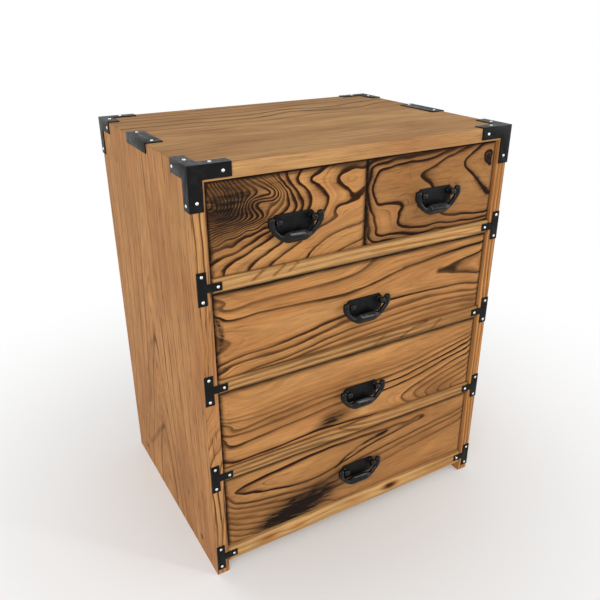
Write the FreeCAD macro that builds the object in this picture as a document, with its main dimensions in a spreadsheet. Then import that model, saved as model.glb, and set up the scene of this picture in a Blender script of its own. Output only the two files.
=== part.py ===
import FreeCAD, Part
import math
import os

import Sketcher

# A small chest of drawers in burnt cedar with black iron fittings, every piece a solid of its own.
# X runs along the front, Y from the front to the back and Z up. The origin lies on the floor, in the
# middle of the whole box, handles included. Lengths are millimetres.

SIZES = {
    # Case
    "width": 320.0,
    "depth": 240.0,
    "height": 400.0,
    "side_thickness": 12.5,
    "top_thickness": 12.5,
    "upper_opening": 78.0,
    "rail_thickness": 12.5,
    "rail_depth": 40.0,
    "bottom_rail_height": 16.0,
    "bottom_rail_depth": 12.5,
    "toe_gap": 13.0,
    "bottom_board_thickness": 9.0,
    "partition_thickness": 10.0,
    "runner_width": 14.0,
    "back_thickness": 4.0,
    "back_recess": 9.0,
    "rear_rail_height": 32.0,
    "rear_rail_thickness": 12.0,
    # Drawers
    "drawer_gap": 1.0,
    "front_thickness": 12.5,
    "bevel_width": 8.0,
    "bevel_depth": 2.5,
    "drawer_side_thickness": 8.0,
    "drawer_back_thickness": 8.0,
    "drawer_back_gap": 4.0,
    "drawer_bottom_thickness": 3.0,
    "side_drop": 6.0,
    "groove_level": 4.0,
    "groove_depth": 3.0,
    "panel_clearance": 0.15,
    # Drawer handles
    "plate_margin": 2.8,
    "plate_height": 15.5,
    "plate_thickness": 1.5,
    "plate_corner": 2.5,
    "plate_drop": 2.75,
    "pivot_reach": 5.6,
    "post_spacing": 32.8,
    "post_diameter": 3.0,
    "post_clearance": 0.05,
    "eye_diameter": 6.0,
    "eye_width": 5.6,
    "rivet_diameter": 6.0,
    "rivet_height": 1.5,
    "pin_diameter": 2.6,
    "pin_clearance": 0.05,
    "pin_overhang": 0.6,
    "side_play": 0.3,
    "ear_width": 5.2,
    "ear_height": 9.0,
    "ear_thickness": 5.2,
    "bail_diameter": 5.0,
    "bail_shoulder": 4.5,
    "grip_length": 28.0,
    "grip_drop": 13.5,
    "grip_diameter": 8.0,
    # Iron plates
    "sheet_thickness": 1.0,
    "corner_leg": 34.5,
    "corner_leg_width": 10.5,
    "front_nail_inset": 7.2,
    "side_nail_inset": 4.5,
    "top_nail_inset": 15.0,
    "tee_edge": 0.5,
    "tee_height": 28.6,
    "tee_bar_width": 8.0,
    "tee_leg_length": 21.0,
    "tee_leg_height": 7.0,
    "tee_nail_inset": 3.5,
    "strap_length": 53.0,
    "strap_centre": 120.0,
    "strap_top_width": 15.0,
    "strap_side_width": 8.0,
    "strap_nail_inset": 6.0,
    # Nails and screws
    "nail_head_diameter": 3.0,
    "nail_crown_diameter": 1.6,
    "nail_head_height": 0.8,
    "nail_diameter": 1.4,
    "nail_length": 6.0,
    "pilot_clearance": 0.05,
    "screw_head_diameter": 7.0,
    "screw_head_height": 2.0,
    "screw_recess": 1.5,
    "screw_diameter": 3.0,
    "screw_grip": 14.0,
    "screw_front_inset": 38.0,
    "screw_rear_inset": 32.0,
    # How far a cutting shape reaches past the face that it opens
    "overcut": 1.0,
}

LEFT, RIGHT = -1, 1
WIDE_DRAWERS = ("bottom_drawer", "third_drawer", "second_drawer")

# Places worked out from the sizes, as expressions of the sheet. Depths count from the front plane.
REACH = "(Dims.pivot_reach + Dims.grip_diameter / 2)"
FRONT = f"(({REACH} - Dims.depth) / 2)"
HALF = "(Dims.width / 2)"
INNER = "(Dims.width / 2 - Dims.side_thickness)"
FLOOR = "(Dims.toe_gap + Dims.bottom_rail_height)"
HEIGHT = "Dims.height"
CEILING = "(Dims.height - Dims.top_thickness)"
UPPER_FLOOR = f"({CEILING} - Dims.upper_opening)"
PITCH = f"(({UPPER_FLOOR} - {FLOOR}) / {len(WIDE_DRAWERS)})"
LOWER_OPENING = f"({PITCH} - Dims.rail_thickness)"
BACK_FACE = "(Dims.depth - Dims.back_recess - Dims.back_thickness)"
RAIL_FACE = "(Dims.depth - Dims.rear_rail_thickness)"
DRAWER_REAR = f"(min({BACK_FACE}; {RAIL_FACE}) - Dims.drawer_back_gap)"
SCREW_LEVEL = "(Dims.toe_gap + Dims.bottom_board_thickness / 2)"
EAR_PLACE = "(Dims.post_spacing / 2 + Dims.eye_width / 2 + Dims.side_play + Dims.ear_width / 2)"

# Turns that point a cylinder's own axis along the named way.
TO_REAR = FreeCAD.Rotation(FreeCAD.Vector(1, 0, 0), -90)
TO_FRONT = FreeCAD.Rotation(FreeCAD.Vector(1, 0, 0), 90)
TO_RIGHT = FreeCAD.Rotation(FreeCAD.Vector(0, 1, 0), 90)
TO_LEFT = FreeCAD.Rotation(FreeCAD.Vector(0, 1, 0), -90)
DOWN = FreeCAD.Rotation(FreeCAD.Vector(1, 0, 0), 180)
UP = FreeCAD.Rotation()
OPPOSITE = ((TO_REAR, TO_FRONT), (TO_RIGHT, TO_LEFT), (DOWN, UP))

doc = FreeCAD.newDocument("chest")
blanks = {}
drills = {}


def fill_sheet():
    """Write every driving size into the sheet under its own alias."""
    sheet = doc.addObject("Spreadsheet::Sheet", "Dims")
    for row, (name, value) in enumerate(SIZES.items(), start=1):
        sheet.set(f"A{row}", name.replace("_", " "))
        sheet.set(f"B{row}", str(value))
        sheet.setAlias(f"B{row}", name)
    doc.recompute()


def bind(thing, **expressions):
    """Tie properties of a shape to the sheet."""
    for name, text in expressions.items():
        thing.setExpression(name, text)


def place(thing, x, y, z, turn=UP):
    """Put a shape at a point whose depth counts from the front plane."""
    thing.Placement = FreeCAD.Placement(FreeCAD.Vector(), turn)
    for axis, text in zip("xyz", (x, f"{FRONT} + ({y})", z)):
        thing.setExpression(f"Placement.Base.{axis}", text)


def inward(edge, side, start, stop):
    """Give the origin and length of a slab between two distances inward from an edge."""
    length = f"(({stop}) - ({start}))"
    origin = f"({edge} + ({start}))" if side < 0 else f"({edge} - ({stop}))"
    return origin, length


def between(start, stop):
    """Give the origin and length of a slab between two places."""
    return start, f"(({stop}) - ({start}))"


def box(name, xs, ys, zs):
    """Make a box from three slabs, each an origin and a length."""
    block = doc.addObject("Part::Box", name)
    bind(block, Length=xs[1], Width=ys[1], Height=zs[1])
    place(block, xs[0], ys[0], zs[0])
    return block


def rod(name, diameter, length, at, turn):
    """Make a cylinder that starts at a point and runs the way it is turned."""
    bar = doc.addObject("Part::Cylinder", name)
    bind(bar, Radius=f"({diameter}) / 2", Height=length)
    place(bar, *at, turn)
    return bar


def join(name, shapes):
    """Fuse shapes into one solid."""
    whole = doc.addObject("Part::MultiFuse", name)
    whole.Shapes = shapes
    return whole


def gather(name, shapes):
    """Keep shapes together as separate solids."""
    group = doc.addObject("Part::Compound", name)
    group.Links = shapes
    return group


def cut(name, base, tools):
    """Take several shapes away from one."""
    rest = doc.addObject("Part::Cut", name)
    rest.Base = base
    rest.Tool = tools[0] if len(tools) == 1 else gather(f"{name}_tools", tools)
    return rest


def piece(label, blank):
    """Enter a piece under the name of its file, before its holes are made."""
    blanks[label] = blank


def drill(labels, *tools):
    """Note holes that later go through the named pieces."""
    for label in labels:
        drills.setdefault(label, []).extend(tools)


def origin_plane(body, role):
    """Find one of a body's own origin planes."""
    return next(item for item in body.Origin.OriginFeatures if item.Role == role)


def sketch_in(body, role, name):
    """Start a sketch on one of a body's origin planes."""
    sketch = body.newObject("Sketcher::SketchObject", name)
    sketch.AttachmentSupport = [(origin_plane(body, role), "")]
    sketch.MapMode = "FlatFace"
    return sketch


def dimension(sketch, name, text, kind, *where):
    """Add one named dimension to a sketch and tie it to the sheet."""
    number = sketch.addConstraint(Sketcher.Constraint(kind, *where))
    sketch.renameConstraint(number, name)
    sketch.setExpression(f"Constraints.{name}", text)


def polyline(sketch, corners, closed):
    """Draw straight runs through corners that are given as expressions."""
    count = len(corners)
    runs = count if closed else count - 1
    guess = [FreeCAD.Vector(math.cos(math.tau * k / count), math.sin(math.tau * k / count), 0)
             for k in range(count)]
    for k in range(runs):
        sketch.addGeometry(Part.LineSegment(guess[k], guess[(k + 1) % count]), False)
    for k in range(runs if closed else runs - 1):
        sketch.addConstraint(Sketcher.Constraint("Coincident", k, 2, (k + 1) % runs, 1))
    for k, (across, along) in enumerate(corners):
        line, end = (k, 1) if k < runs else (runs - 1, 2)
        dimension(sketch, f"across{k}", across, "DistanceX", -1, 1, line, end, guess[k].x)
        dimension(sketch, f"along{k}", along, "DistanceY", -1, 1, line, end, guess[k].y)


def upright_body(name, corners, thickness, to_rear):
    """Pad an outline, drawn as seen from the front, to a thickness."""
    body = doc.addObject("PartDesign::Body", name)
    sketch = sketch_in(body, "XZ_Plane", f"{name}_outline")
    polyline(sketch, corners, closed=True)
    pad = body.newObject("PartDesign::Pad", f"{name}_pad")
    pad.Profile = sketch
    pad.Reversed = to_rear
    bind(pad, Length=thickness)
    return body


def make_case():
    """Make the boards, rails and runners of the case."""
    for label, side in (("left_side_panel", LEFT), ("right_side_panel", RIGHT)):
        outline = [(f"{side} * {HALF}", "0"), (f"{side} * {INNER}", "0"),
                   (f"{side} * {INNER}", CEILING), (f"{side} * {HALF}", HEIGHT)]
        panel = upright_body(f"{label}_body", outline, "Dims.depth", to_rear=True)
        place(panel, "0", "0", "0")
        piece(label, panel)
    outline = [(f"-{HALF}", HEIGHT), (f"-{INNER}", CEILING), (INNER, CEILING), (HALF, HEIGHT)]
    board = upright_body("top_board_body", outline, "Dims.depth", to_rear=True)
    place(board, "0", "0", "0")
    piece("top_board", board)

    clear_width = between(f"-{INNER}", INNER)
    rails = (("lower_rail", 1, "Dims.rail_depth"), ("middle_rail", 2, "Dims.rail_depth"),
             ("upper_shelf", 3, BACK_FACE))
    for label, level, depth in rails:
        zs = (f"({FLOOR} + {level} * {PITCH} - Dims.rail_thickness)", "Dims.rail_thickness")
        piece(label, box(f"{label}_board", clear_width, ("0", depth), zs))
    piece("bottom_rail", box("bottom_rail_board", clear_width, ("0", "Dims.bottom_rail_depth"),
                             ("Dims.toe_gap", "Dims.bottom_rail_height")))
    piece("bottom_board", box("bottom_board_board", clear_width,
                              between("Dims.bottom_rail_depth", RAIL_FACE),
                              ("Dims.toe_gap", "Dims.bottom_board_thickness")))
    piece("rear_rail", box("rear_rail_board", clear_width, (RAIL_FACE, "Dims.rear_rail_thickness"),
                           ("0", "Dims.rear_rail_height")))
    piece("back_panel", box("back_panel_board", clear_width, (BACK_FACE, "Dims.back_thickness"),
                            between("Dims.rear_rail_height", CEILING)))
    piece("drawer_partition", box("drawer_partition_board",
                                  ("-Dims.partition_thickness / 2", "Dims.partition_thickness"),
                                  between("Dims.front_thickness + Dims.drawer_gap", BACK_FACE),
                                  between(UPPER_FLOOR, CEILING)))
    runners = []
    for level in range(len(WIDE_DRAWERS)):
        for side in (LEFT, RIGHT):
            xs = inward(f"{side} * {INNER}", side, "0", "Dims.runner_width")
            ys = between("Dims.rail_depth", BACK_FACE)
            zs = (f"({FLOOR} + {level} * {PITCH} - Dims.rail_thickness)", "Dims.rail_thickness")
            if level == 0:
                ys = between("Dims.bottom_rail_depth", RAIL_FACE)
                zs = between("Dims.toe_gap + Dims.bottom_board_thickness", FLOOR)
            runners.append(box(f"runner_{level}_{'left' if side < 0 else 'right'}", xs, ys, zs))
    piece("drawer_runners", gather("drawer_runner_set", runners))


def make_drawer(name, front_span, box_span, floor, opening):
    """Make the five boards of a drawer: bevelled front, two sides, back and bottom."""
    gap = "Dims.drawer_gap"
    xs = between(*front_span)
    zs = between(f"{floor} + {gap}", f"{floor} + {opening} - {gap}")
    field = doc.addObject("Part::Wedge", f"{name}_front_field")
    bind(field, Ymin="0", Xmin="Dims.bevel_width", Zmin="Dims.bevel_width",
         Xmax=f"{xs[1]} - Dims.bevel_width", Zmax=f"{zs[1]} - Dims.bevel_width",
         Ymax="Dims.bevel_depth", X2min="0", Z2min="0", X2max=xs[1], Z2max=zs[1])
    place(field, xs[0], "0", zs[0])
    slab = box(f"{name}_front_slab", xs, between("Dims.bevel_depth", "Dims.front_thickness"), zs)
    piece(f"{name}_front", join(f"{name}_front_blank", [field, slab]))

    wall = "Dims.drawer_side_thickness"
    ys = between("Dims.front_thickness", DRAWER_REAR)
    wall_top = f"({floor} + {opening} - Dims.side_drop)"
    ledge = f"({floor} + Dims.groove_level)"
    inside = (f"({box_span[0]} + {wall})", f"({box_span[1]} - {wall})")
    piece(f"{name}_left_side", box(f"{name}_left_board", (box_span[0], wall), ys,
                                   between(floor, wall_top)))
    piece(f"{name}_right_side", box(f"{name}_right_board", (inside[1], wall), ys,
                                    between(floor, wall_top)))
    piece(f"{name}_back", box(f"{name}_back_board", between(*inside),
                              between(f"{DRAWER_REAR} - Dims.drawer_back_thickness", DRAWER_REAR),
                              between(f"{ledge} + Dims.drawer_bottom_thickness", wall_top)))
    tongue = "(Dims.groove_depth - Dims.panel_clearance)"
    piece(f"{name}_bottom", box(f"{name}_bottom_board",
                                between(f"{inside[0]} - {tongue}", f"{inside[1]} + {tongue}"),
                                between(f"Dims.front_thickness - {tongue}", DRAWER_REAR),
                                (ledge, "Dims.drawer_bottom_thickness")))
    groove = box(f"{name}_groove",
                 between(f"{inside[0]} - Dims.groove_depth", f"{inside[1]} + Dims.groove_depth"),
                 between("Dims.front_thickness - Dims.groove_depth", f"{DRAWER_REAR} + Dims.overcut"),
                 (ledge, "Dims.drawer_bottom_thickness + Dims.panel_clearance"))
    drill([f"{name}_front", f"{name}_left_side", f"{name}_right_side"], groove)
    make_handle(name, f"(({front_span[0]} + {front_span[1]}) / 2)", f"({floor} + {opening} / 2)")


def make_handle(name, x, z):
    """Make a drawer's handle: a plate, two riveted eye posts and the bail that swings in them."""
    flat = "(Dims.post_spacing / 2 + Dims.plate_margin)"
    top, bottom = (f"{sign}Dims.plate_height / 2 - Dims.plate_drop" for sign in ("", "-"))
    clipped, nip = f"({flat} - Dims.plate_corner)", "Dims.plate_corner"
    outline = [(f"-{clipped}", bottom), (clipped, bottom), (flat, f"{bottom} + {nip}"),
               (flat, f"{top} - {nip}"), (clipped, top), (f"-{clipped}", top),
               (f"-{flat}", f"{top} - {nip}"), (f"-{flat}", f"{bottom} + {nip}")]
    plate = upright_body(f"{name}_plate_body", outline, "Dims.plate_thickness", to_rear=False)
    place(plate, x, "0", z)
    piece(f"{name}_handle_plate", plate)

    posts = []
    for side, word in ((LEFT, "left"), (RIGHT, "right")):
        part_name = f"{name}_{word}_post"
        middle = f"({x} + {side} * Dims.post_spacing / 2)"
        eye_start = f"({middle} - Dims.eye_width / 2)"
        shank = rod(f"{part_name}_shank", "Dims.post_diameter", "Dims.pivot_reach + Dims.front_thickness",
                    (middle, "-Dims.pivot_reach", z), TO_REAR)
        rivet = rod(f"{part_name}_rivet", "Dims.rivet_diameter", "Dims.rivet_height",
                    (middle, "Dims.front_thickness", z), TO_REAR)
        eye = rod(f"{part_name}_eye", "Dims.eye_diameter", "Dims.eye_width",
                  (eye_start, "-Dims.pivot_reach", z), TO_RIGHT)
        bore = rod(f"{part_name}_bore", "Dims.pin_diameter + 2 * Dims.pin_clearance",
                   "Dims.eye_width + 2 * Dims.overcut",
                   (f"{eye_start} - Dims.overcut", "-Dims.pivot_reach", z), TO_RIGHT)
        posts.append(cut(part_name, join(f"{part_name}_blank", [shank, rivet, eye]), [bore]))
        hole = rod(f"{part_name}_hole", "Dims.post_diameter + 2 * Dims.post_clearance",
                   "Dims.plate_thickness + Dims.front_thickness + 2 * Dims.overcut",
                   (middle, "-Dims.plate_thickness - Dims.overcut", z), TO_REAR)
        drill([f"{name}_front", f"{name}_handle_plate"], hole)
    piece(f"{name}_handle_posts", gather(f"{name}_post_pair", posts))
    piece(f"{name}_handle_bail", make_bail(f"{name}_bail", x, z))


def bail_rod(body, name):
    """Bend the bail's rod from ear to ear and give it the swollen grip."""
    half_grip, shoulder = "Dims.grip_length / 2", "Dims.grip_drop - Dims.bail_shoulder"
    path = sketch_in(body, "XZ_Plane", f"{name}_path")
    polyline(path, [(f"-{EAR_PLACE}", "Dims.grip_drop"), (f"-{EAR_PLACE}", shoulder),
                    (f"-{half_grip}", "0"), (half_grip, "0"),
                    (EAR_PLACE, shoulder), (EAR_PLACE, "Dims.grip_drop")], closed=False)
    ring = sketch_in(body, "XY_Plane", f"{name}_ring")
    bind(ring, **{"AttachmentOffset.Base.z": "Dims.grip_drop"})
    ring.addGeometry(Part.Circle(FreeCAD.Vector(-1, 0, 0), FreeCAD.Vector(0, 0, 1), 1.0), False)
    ring.addConstraint(Sketcher.Constraint("PointOnObject", 0, 3, -1))
    dimension(ring, "centre", f"-{EAR_PLACE}", "DistanceX", -1, 1, 0, 3, -1.0)
    dimension(ring, "radius", "Dims.bail_diameter / 2", "Radius", 0, 1.0)
    doc.recompute()
    pipe = body.newObject("PartDesign::AdditivePipe", f"{name}_pipe")
    pipe.Profile = ring
    pipe.Spine = (path, [])
    pipe.Transition = "Round corner"

    # The points of this sketch are a first guess that its dimensions then move.
    swell = sketch_in(body, "XZ_Plane", f"{name}_swell")
    left, middle, right = (FreeCAD.Vector(x, y, 0) for x, y in ((-10, 0), (0, 3), (10, 0)))
    swell.addGeometry(Part.LineSegment(left, right), False)
    swell.addGeometry(Part.Arc(right, middle, left), False)
    for line_end, arc_end in ((1, 2), (2, 1)):
        swell.addConstraint(Sketcher.Constraint("PointOnObject", 0, line_end, -1))
        swell.addConstraint(Sketcher.Constraint("Coincident", 0, line_end, 1, arc_end))
    swell.addConstraint(Sketcher.Constraint("PointOnObject", 1, 3, -2))
    dimension(swell, "half_length", half_grip, "DistanceX", -1, 1, 0, 2, right.x)
    dimension(swell, "bow", "((Dims.grip_length / 2)^2 + (Dims.grip_diameter / 2)^2) / Dims.grip_diameter",
              "Radius", 1, 18.0)
    doc.recompute()
    grip = body.newObject("PartDesign::Revolution", f"{name}_grip")
    grip.Profile = swell
    grip.ReferenceAxis = (swell, ["H_Axis"])
    grip.Angle = 360


def bail_ends(body, name):
    """Give the bail an upright oval ear and an inward pin at each end."""
    # The points of this sketch are a first guess too.
    slot = sketch_in(body, "XZ_Plane", f"{name}_ear")
    side = FreeCAD.Vector(1, 0, 0)
    crown, foot = FreeCAD.Vector(20, 15, 0), FreeCAD.Vector(20, 12, 0)
    circle_up, circle_down = (Part.Circle(centre, FreeCAD.Vector(0, 0, 1), 1.0) for centre in (crown, foot))
    slot.addGeometry(Part.ArcOfCircle(circle_up, 0, math.pi), False)
    slot.addGeometry(Part.LineSegment(crown - side, foot - side), False)
    slot.addGeometry(Part.ArcOfCircle(circle_down, math.pi, math.tau), False)
    slot.addGeometry(Part.LineSegment(foot + side, crown + side), False)
    for k in range(4):
        slot.addConstraint(Sketcher.Constraint("Tangent", k, 2, (k + 1) % 4, 1))
    for word, arc, sign, centre in (("crown", 0, 1, crown), ("foot", 2, -1, foot)):
        level = f"Dims.grip_drop + {sign} * (Dims.ear_height - Dims.ear_width) / 2"
        dimension(slot, f"{word}_place", EAR_PLACE, "DistanceX", -1, 1, arc, 3, centre.x)
        dimension(slot, f"{word}_level", level, "DistanceY", -1, 1, arc, 3, centre.y)
        dimension(slot, f"{word}_radius", "Dims.ear_width / 2", "Radius", arc, 1.0)
    ear = body.newObject("PartDesign::Pad", f"{name}_ear_pad")
    ear.Profile = slot
    ear.SideType = "Symmetric"
    bind(ear, Length="Dims.ear_thickness")

    start = "(Dims.post_spacing / 2 - Dims.eye_width / 2 - Dims.pin_overhang)"
    ring = sketch_in(body, "YZ_Plane", f"{name}_pin_ring")
    bind(ring, **{"AttachmentOffset.Base.z": start})
    ring.addGeometry(Part.Circle(FreeCAD.Vector(0, 1, 0), FreeCAD.Vector(0, 0, 1), 1.0), False)
    ring.addConstraint(Sketcher.Constraint("PointOnObject", 0, 3, -2))
    dimension(ring, "level", "Dims.grip_drop", "DistanceY", -1, 1, 0, 3, 1.0)
    dimension(ring, "radius", "Dims.pin_diameter / 2", "Radius", 0, 1.0)
    pin = body.newObject("PartDesign::Pad", f"{name}_pin_pad")
    pin.Profile = ring
    bind(pin, Length=f"{EAR_PLACE} - {start}")
    doc.recompute()
    both = body.newObject("PartDesign::Mirrored", f"{name}_other_end")
    both.Originals = [ear, pin]
    both.MirrorPlane = (origin_plane(body, "YZ_Plane"), [""])
    body.Tip = both


def make_bail(name, x, z):
    """Make a hanging bail, drawn about the middle of its grip."""
    body = doc.addObject("PartDesign::Body", f"{name}_body")
    bail_rod(body, name)
    bail_ends(body, name)
    place(body, x, "-Dims.pivot_reach", f"{z} - Dims.grip_drop")
    return body


def make_drawers():
    """Make the three wide drawers and the two small ones above them."""
    gap = "Dims.drawer_gap"
    wide = (f"(-{INNER} + {gap})", f"({INNER} - {gap})")
    for level, name in enumerate(WIDE_DRAWERS):
        make_drawer(name, wide, wide, f"({FLOOR} + {level} * {PITCH})", LOWER_OPENING)
    wall = f"(Dims.partition_thickness / 2 + {gap})"
    make_drawer("upper_left_drawer", (wide[0], f"(-{gap} / 2)"), (wide[0], f"(-{wall})"),
                UPPER_FLOOR, "Dims.upper_opening")
    make_drawer("upper_right_drawer", (f"({gap} / 2)", wide[1]), (wall, wide[1]),
                UPPER_FLOOR, "Dims.upper_opening")


def make_nail(name, labels, at, turn):
    """Make one nail on the outside of a plate, and its pilot hole through the named pieces."""
    outward = next(pair[1 - pair.index(turn)] for pair in OPPOSITE if turn in pair)
    shank = rod(f"{name}_shank", "Dims.nail_diameter", "Dims.nail_length", at, turn)
    head = doc.addObject("Part::Cone", f"{name}_head")
    bind(head, Radius1="Dims.nail_head_diameter / 2", Radius2="Dims.nail_crown_diameter / 2",
         Height="Dims.nail_head_height")
    place(head, *at, outward)
    pilot = rod(f"{name}_pilot", "Dims.nail_diameter + 2 * Dims.pilot_clearance",
                "Dims.nail_length + Dims.pilot_clearance", at, turn)
    drill(labels, pilot)
    return join(name, [head, shank])


def make_corner_plate(label, side, at_front):
    """Make one corner plate with an L on the side, an L on the top and, in front, an L there too."""
    sheet, leg, over = "Dims.sheet_thickness", "Dims.corner_leg", "Dims.overcut"
    long_leg = f"({leg} + {over})"
    edge_x, edge_y, way_y = f"{side} * {HALF}", "0" if at_front else "Dims.depth", -1 if at_front else 1

    def spans(start, stop):
        return (inward(edge_x, side, start, stop), inward(edge_y, way_y, start, stop),
                inward(HEIGHT, 1, start, stop))

    outside, wood = spans(f"-{sheet}", leg), spans("0", long_leg)
    window, skin = spans("Dims.corner_leg_width", long_leg), spans(f"-{sheet} - {over}", "0")
    outer_y, wood_y = outside[1], wood[1]
    if not at_front:
        outer_y, wood_y = inward(edge_y, way_y, "0", leg), inward(edge_y, way_y, f"-{over}", long_leg)
    tools = [box(f"{label}_wood", wood[0], wood_y, wood[2]),
             box(f"{label}_side_window", skin[0], window[1], window[2]),
             box(f"{label}_top_window", window[0], window[1], skin[2])]
    if at_front:
        tools.append(box(f"{label}_front_window", window[0], skin[1], window[2]))
    piece(label, cut(f"{label}_sheet", box(f"{label}_block", outside[0], outer_y, outside[2]), tools))

    panel = "left_side_panel" if side < 0 else "right_side_panel"
    through = [label, panel, "top_board"]
    middle, turn_in = "Dims.corner_leg_width / 2", TO_RIGHT if side < 0 else TO_LEFT

    def from_edge(edge, way, distance):
        return f"({edge} - {way} * ({distance}))"

    def spots(inset):
        far = f"({leg} - Dims.{inset})"
        return ("long", far, middle), ("cross", middle, far)

    side_face, top_face = from_edge(edge_x, side, f"-{sheet}"), f"({HEIGHT} + {sheet})"
    nails = []
    for leg_name, back, down in spots("side_nail_inset"):
        at = (side_face, from_edge(edge_y, way_y, back), from_edge(HEIGHT, 1, down))
        nails.append(make_nail(f"{label}_side_{leg_name}_nail", through, at, turn_in))
    for leg_name, across, back in spots("top_nail_inset"):
        at = (from_edge(edge_x, side, across), from_edge(edge_y, way_y, back), top_face)
        nails.append(make_nail(f"{label}_top_{leg_name}_nail", through, at, DOWN))
    if at_front:
        for leg_name, across, down in spots("front_nail_inset"):
            at = (from_edge(edge_x, side, across), f"-{sheet}", from_edge(HEIGHT, 1, down))
            nails.append(make_nail(f"{label}_front_{leg_name}_nail", through, at, TO_REAR))
    return nails


def make_tee_plates():
    """Make the tee plates that tie each rail to the front edges of the side panels."""
    rails = [("bottom_rail", "(Dims.toe_gap + Dims.bottom_rail_height / 2)")]
    for level, label in ((1, "lower_rail"), (2, "middle_rail"), (3, "upper_shelf")):
        rails.append((label, f"({FLOOR} + {level} * {PITCH} - Dims.rail_thickness / 2)"))
    plates, nails = [], []
    for rail, level in rails:
        for side, word in ((LEFT, "left"), (RIGHT, "right")):
            name, edge = f"{rail}_{word}_tee", f"{side} * {HALF}"
            start, ys = "Dims.tee_edge", ("-Dims.sheet_thickness", "Dims.sheet_thickness")
            bar = box(f"{name}_bar", inward(edge, side, start, f"{start} + Dims.tee_bar_width"), ys,
                      (f"({level} - Dims.tee_height / 2)", "Dims.tee_height"))
            leg = box(f"{name}_leg", inward(edge, side, start, f"{start} + Dims.tee_leg_length"), ys,
                      (f"({level} - Dims.tee_leg_height / 2)", "Dims.tee_leg_height"))
            plates.append(join(name, [bar, leg]))
            post = f"({edge} - {side} * ({start} + Dims.tee_bar_width / 2))"
            tip = f"({edge} - {side} * ({start} + Dims.tee_leg_length - Dims.tee_nail_inset))"
            rise = "(Dims.tee_height / 2 - Dims.tee_nail_inset)"
            through = ["rail_tee_plates", rail, f"{word}_side_panel"]
            for spot, x, z in (("upper", post, f"{level} + {rise}"), ("lower", post, f"{level} - {rise}"),
                               ("leg", tip, level)):
                nails.append(make_nail(f"{name}_{spot}_nail", through, (x, ys[0], z), TO_REAR))
    piece("rail_tee_plates", gather("tee_plate_set", plates))
    return nails


def make_straps():
    """Make the two angled straps that lie over the top's side edges."""
    straps, nails = [], []
    ys = ("(Dims.strap_centre - Dims.strap_length / 2)", "Dims.strap_length")
    for side, word in ((LEFT, "left"), (RIGHT, "right")):
        edge, name = f"{side} * {HALF}", f"{word}_strap"
        flat = box(f"{name}_flat", inward(edge, side, "-Dims.sheet_thickness", "Dims.strap_top_width"), ys,
                   (HEIGHT, "Dims.sheet_thickness"))
        flange = box(f"{name}_flange", inward(edge, side, "-Dims.sheet_thickness", "0"), ys,
                     between(f"{HEIGHT} - Dims.strap_side_width", f"{HEIGHT} + Dims.sheet_thickness"))
        straps.append(join(name, [flat, flange]))
        for end, way in (("front", -1), ("rear", 1)):
            depth = f"(Dims.strap_centre + {way} * (Dims.strap_length / 2 - Dims.strap_nail_inset))"
            at = (f"({edge} - {side} * Dims.strap_top_width / 2)", depth,
                  f"({HEIGHT} + Dims.sheet_thickness)")
            through = ["top_edge_straps", "top_board", f"{word}_side_panel"]
            nails.append(make_nail(f"{name}_{end}_nail", through, at, DOWN))
    piece("top_edge_straps", gather("strap_pair", straps))
    return nails


def make_screw(name, outer, at, step, turn):
    """Make one case screw, sunk below the face of the outer piece and driven into the bottom board."""
    head_at = [f"({text}) + ({move}) * Dims.screw_recess" for text, move in zip(at, step)]
    head = rod(f"{name}_head", "Dims.screw_head_diameter", "Dims.screw_head_height", head_at, turn)
    wall = "Dims.rear_rail_thickness" if outer == "rear_rail" else "Dims.side_thickness"
    length = f"({wall} - Dims.screw_recess + Dims.screw_grip)"
    shank = rod(f"{name}_shank", "Dims.screw_diameter", length, head_at, turn)
    well_at = [f"({text}) - ({move}) * Dims.overcut" for text, move in zip(at, step)]
    well = rod(f"{name}_well", "Dims.screw_head_diameter + 2 * Dims.pilot_clearance",
               "Dims.overcut + Dims.screw_recess + Dims.screw_head_height", well_at, turn)
    bore = rod(f"{name}_bore", "Dims.screw_diameter + 2 * Dims.pilot_clearance",
               f"{length} + Dims.pilot_clearance", head_at, turn)
    drill([outer], well)
    drill([outer, "bottom_board"], bore)
    return join(name, [head, shank])


def make_screws():
    """Make the screws that hold the bottom board between the side panels and the rear rail."""
    screws = []
    ends = (("front", "Dims.screw_front_inset"), ("rear", "Dims.depth - Dims.screw_rear_inset"))
    for side, word in ((LEFT, "left"), (RIGHT, "right")):
        for end, depth in ends:
            screws.append(make_screw(f"{word}_{end}_screw", f"{word}_side_panel",
                                     (f"{side} * {HALF}", depth, SCREW_LEVEL), (-side, 0, 0),
                                     TO_RIGHT if side < 0 else TO_LEFT))
    screws.append(make_screw("middle_rear_screw", "rear_rail", ("0", "Dims.depth", SCREW_LEVEL),
                             (0, -1, 0), TO_FRONT))
    piece("case_screws", gather("case_screw_set", screws))


def make_fittings():
    """Make the iron plates, the nails that hold them and the case screws."""
    nails = []
    for word, side in (("left", LEFT), ("right", RIGHT)):
        nails += make_corner_plate(f"front_{word}_corner_plate", side, at_front=True)
        nails += make_corner_plate(f"rear_{word}_corner_plate", side, at_front=False)
    nails += make_tee_plates()
    nails += make_straps()
    piece("plate_nails", gather("plate_nail_set", nails))
    make_screws()


def finish_pieces():
    """Drill each piece where holes were noted for it, and give it its own label."""
    finished = {}
    for label, blank in blanks.items():
        whole = cut(f"{label}_drilled", blank, drills[label]) if label in drills else blank
        whole.Label = label
        finished[label] = whole
    return finished


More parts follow.
